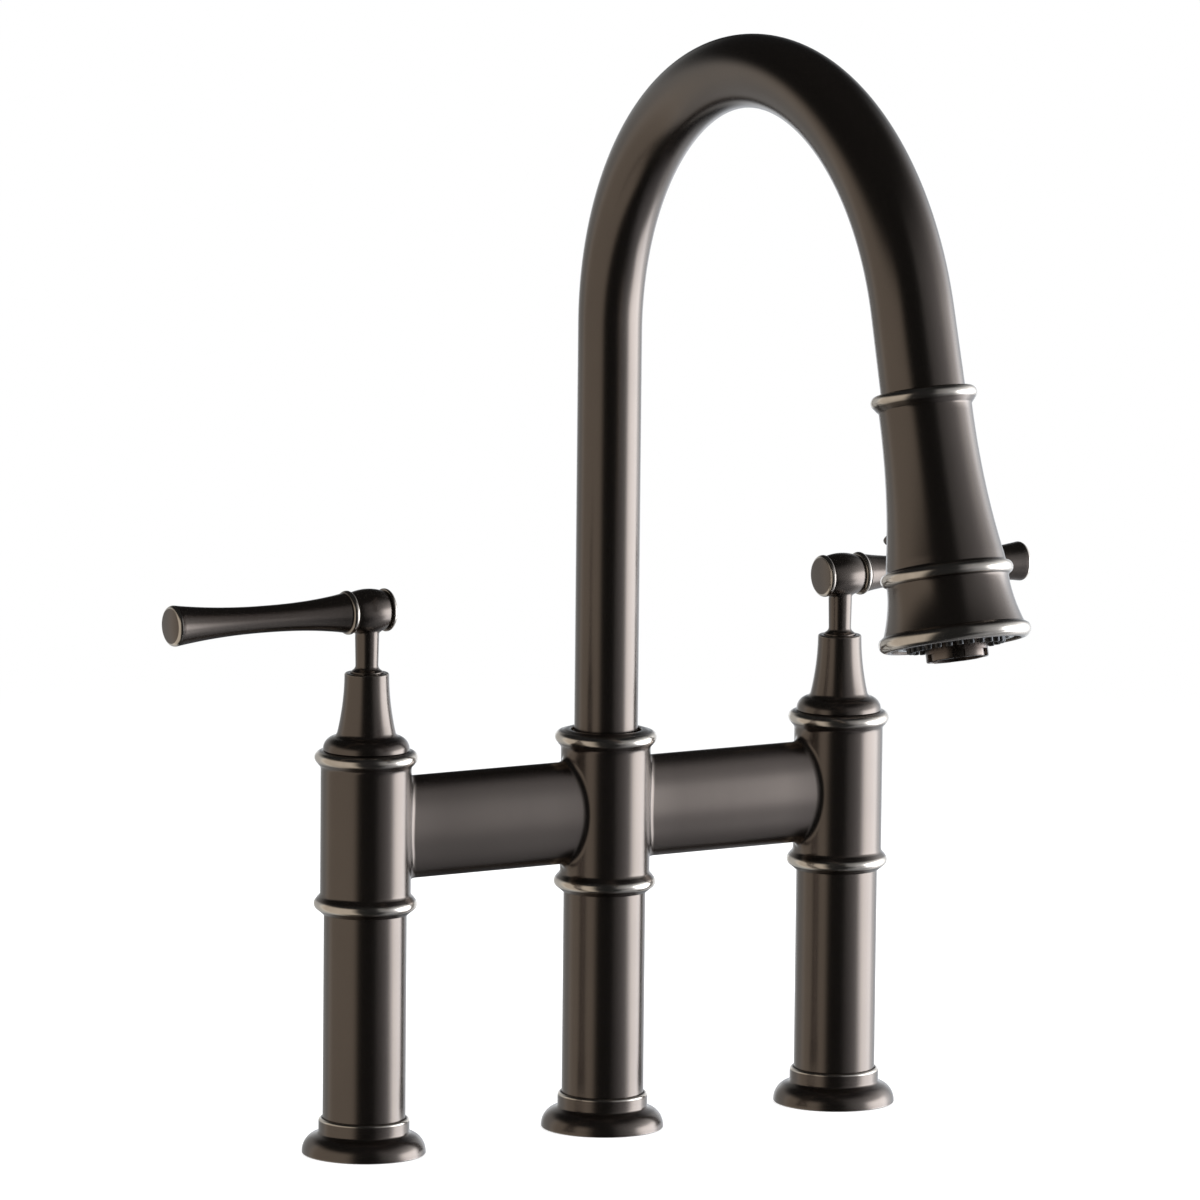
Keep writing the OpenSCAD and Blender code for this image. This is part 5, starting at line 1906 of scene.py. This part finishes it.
    def floor(self) -> None:
        """Makes the white floor, which keeps a soft shadow and runs out into the background."""
        half = self.floor_half
        mesh = bpy.data.meshes.new("studio_floor")
        mesh.from_pydata([(-half, -half, 0), (half, -half, 0), (half, half, 0), (-half, half, 0)],
                         [], [(0, 1, 2, 3)])
        floor = new_object("studio_floor", mesh)
        floor.location.z = self.floor_z
        floor.visible_glossy = False
        material = bpy.data.materials.new("matt_white_floor")
        tree = blank_tree(material)
        seen = self.seen_directly(tree)
        away = add_node(tree, "ShaderNodeVectorMath", {"operation": "LENGTH"},
                        {0: object_place(tree)}).outputs["Value"]
        matt = add_node(tree, "ShaderNodeBsdfDiffuse", None, {"Color": self.floor_tone})
        glow, white = (add_node(tree, "ShaderNodeEmission", None,
                                {"Color": WHITE, "Strength": strength}).outputs[0]
                       for strength in (math_node(tree, "MULTIPLY", seen, self.floor_glow), seen))
        lit = add_node(tree, "ShaderNodeAddShader", None, {0: matt.outputs[0], 1: glow}).outputs[0]
        fade = self.soft_step(tree, away, self.fade_start, self.fade_end)
        mix = add_node(tree, "ShaderNodeMixShader", None, {0: fade, 1: lit, 2: white})
        add_node(tree, "ShaderNodeOutputMaterial", None, {0: mix.outputs[0]})
        mesh.materials.append(material)

    def glow(self, tree: Tree, here: Socket, panel: Panel) -> Socket:
        """Works out one panel's light at a place on the tent.

        Args:
            tree: The tent's material.
            here: The place, from the tent's middle.
            panel: The panel.

        Returns:
            Its share of the emission colour.
        """
        facing = math.radians(90 - self.azimuth - panel.bearing)
        turned = add_node(tree, "ShaderNodeVectorRotate", {"rotation_type": "Z_AXIS"},
                          {"Vector": here, "Angle": facing}).outputs[0]
        split = add_node(tree, "ShaderNodeSeparateXYZ", None, {0: turned})
        bearing = math_node(tree, "ARCTAN2", split.outputs["Y"], split.outputs["X"])
        aside = math_node(tree, "ABSOLUTE", bearing)
        sine = math_node(tree, "DIVIDE", split.outputs["Z"], self.tent_r)
        level = math_node(tree, "ARCSINE", sine)
        off = math_node(tree, "SUBTRACT", level, math.radians(panel.height))
        above = math_node(tree, "ABSOLUTE", off)
        across = self.soft_step(tree, aside, math.radians(panel.half_width - panel.side_edge),
                                math.radians(panel.half_width + panel.side_edge), True)
        upright = self.soft_step(tree, above, math.radians(panel.half_height - panel.level_edge),
                                 math.radians(panel.half_height + panel.level_edge), True)
        return vector_node(tree, "SCALE", panel.light,
                           math_node(tree, "MULTIPLY", across, upright))

    def tent(self) -> None:
        """Makes the reflector tent, which only reflections see."""
        profile = []
        for degrees in range(-90, 91, self.tent_step):
            a = math.radians(degrees)
            reach = self.tent_r * math.cos(a) if abs(degrees) < 90 else 0.0
            profile.append(Stop(reach, self.tent_r * math.sin(a)))
        shape = Shape().turn(profile, Matrix.Translation((0, 0, self.tent_z)), 96)
        globe = shape.holder("reflector_tent")
        shape.mesh.free()
        for kind in ("camera", "diffuse", "transmission", "volume_scatter", "shadow"):
            setattr(globe, f"visible_{kind}", False)
        material = bpy.data.materials.new("reflector_cloth")
        tree = blank_tree(material)
        material.cycles.emission_sampling = "NONE"
        middle = vector_node(tree, "SUBTRACT", object_place(tree), (0, 0, self.tent_z))
        light: Any = self.tent_shade
        for panel in self.panels:
            light = vector_node(tree, "ADD", light, self.glow(tree, middle, panel))
        glow = add_node(tree, "ShaderNodeEmission", None, {"Color": light, "Strength": 1.0})
        add_node(tree, "ShaderNodeOutputMaterial", None, {0: glow.outputs[0]})
        globe.data.materials.append(material)

    def lamp(self, name: str, spot: tuple[float, float, float], size: float,
             power: float) -> None:
        """Adds a soft lamp that looks at the faucet and doesn't show in its reflections.

        Args:
            name: The lamp's name.
            spot: Where it stands, in metres.
            size: Its width in metres.
            power: Its power in watts.
        """
        light = bpy.data.lights.new(name, "AREA")
        light.shape, light.size, light.energy = "DISK", size, power
        thing = new_object(name, light)
        thing.location = spot
        way = Vector(self.aim) - Vector(spot)
        thing.rotation_euler = way.to_track_quat("-Z", "Y").to_euler()
        thing.visible_glossy = False

    def build(self) -> None:
        """Sets up the whole studio."""
        self.camera()
        self.world()
        self.floor()
        self.tent()
        self.lamp("key_soft_box", (1.3, -1.5, 2.0), size=1.4, power=26.0)
        self.lamp("fill_soft_box", (-1.8, -0.9, 1.5), size=1.6, power=14.0)
        self.lamp("top_soft_box", (0.0, 0.3, 2.3), size=1.8, power=16.0)
        bpy.context.scene.view_settings.view_transform = "Standard"


def main() -> None:
    logging.basicConfig(level=logging.INFO, format="%(name)s: %(message)s")
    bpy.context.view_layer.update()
    palette = Palette()
    Studio().build()
    dress_inner_pieces(palette)
    Bridge(palette).build()
    for side in Side:
        Foot(palette).build(side)
    for side in (Side.LEFT, Side.RIGHT):
        Handle(palette).build(side)
    Gooseneck(palette).build()
    SprayHead(palette).build()


if __name__ == "__main__":
    main()
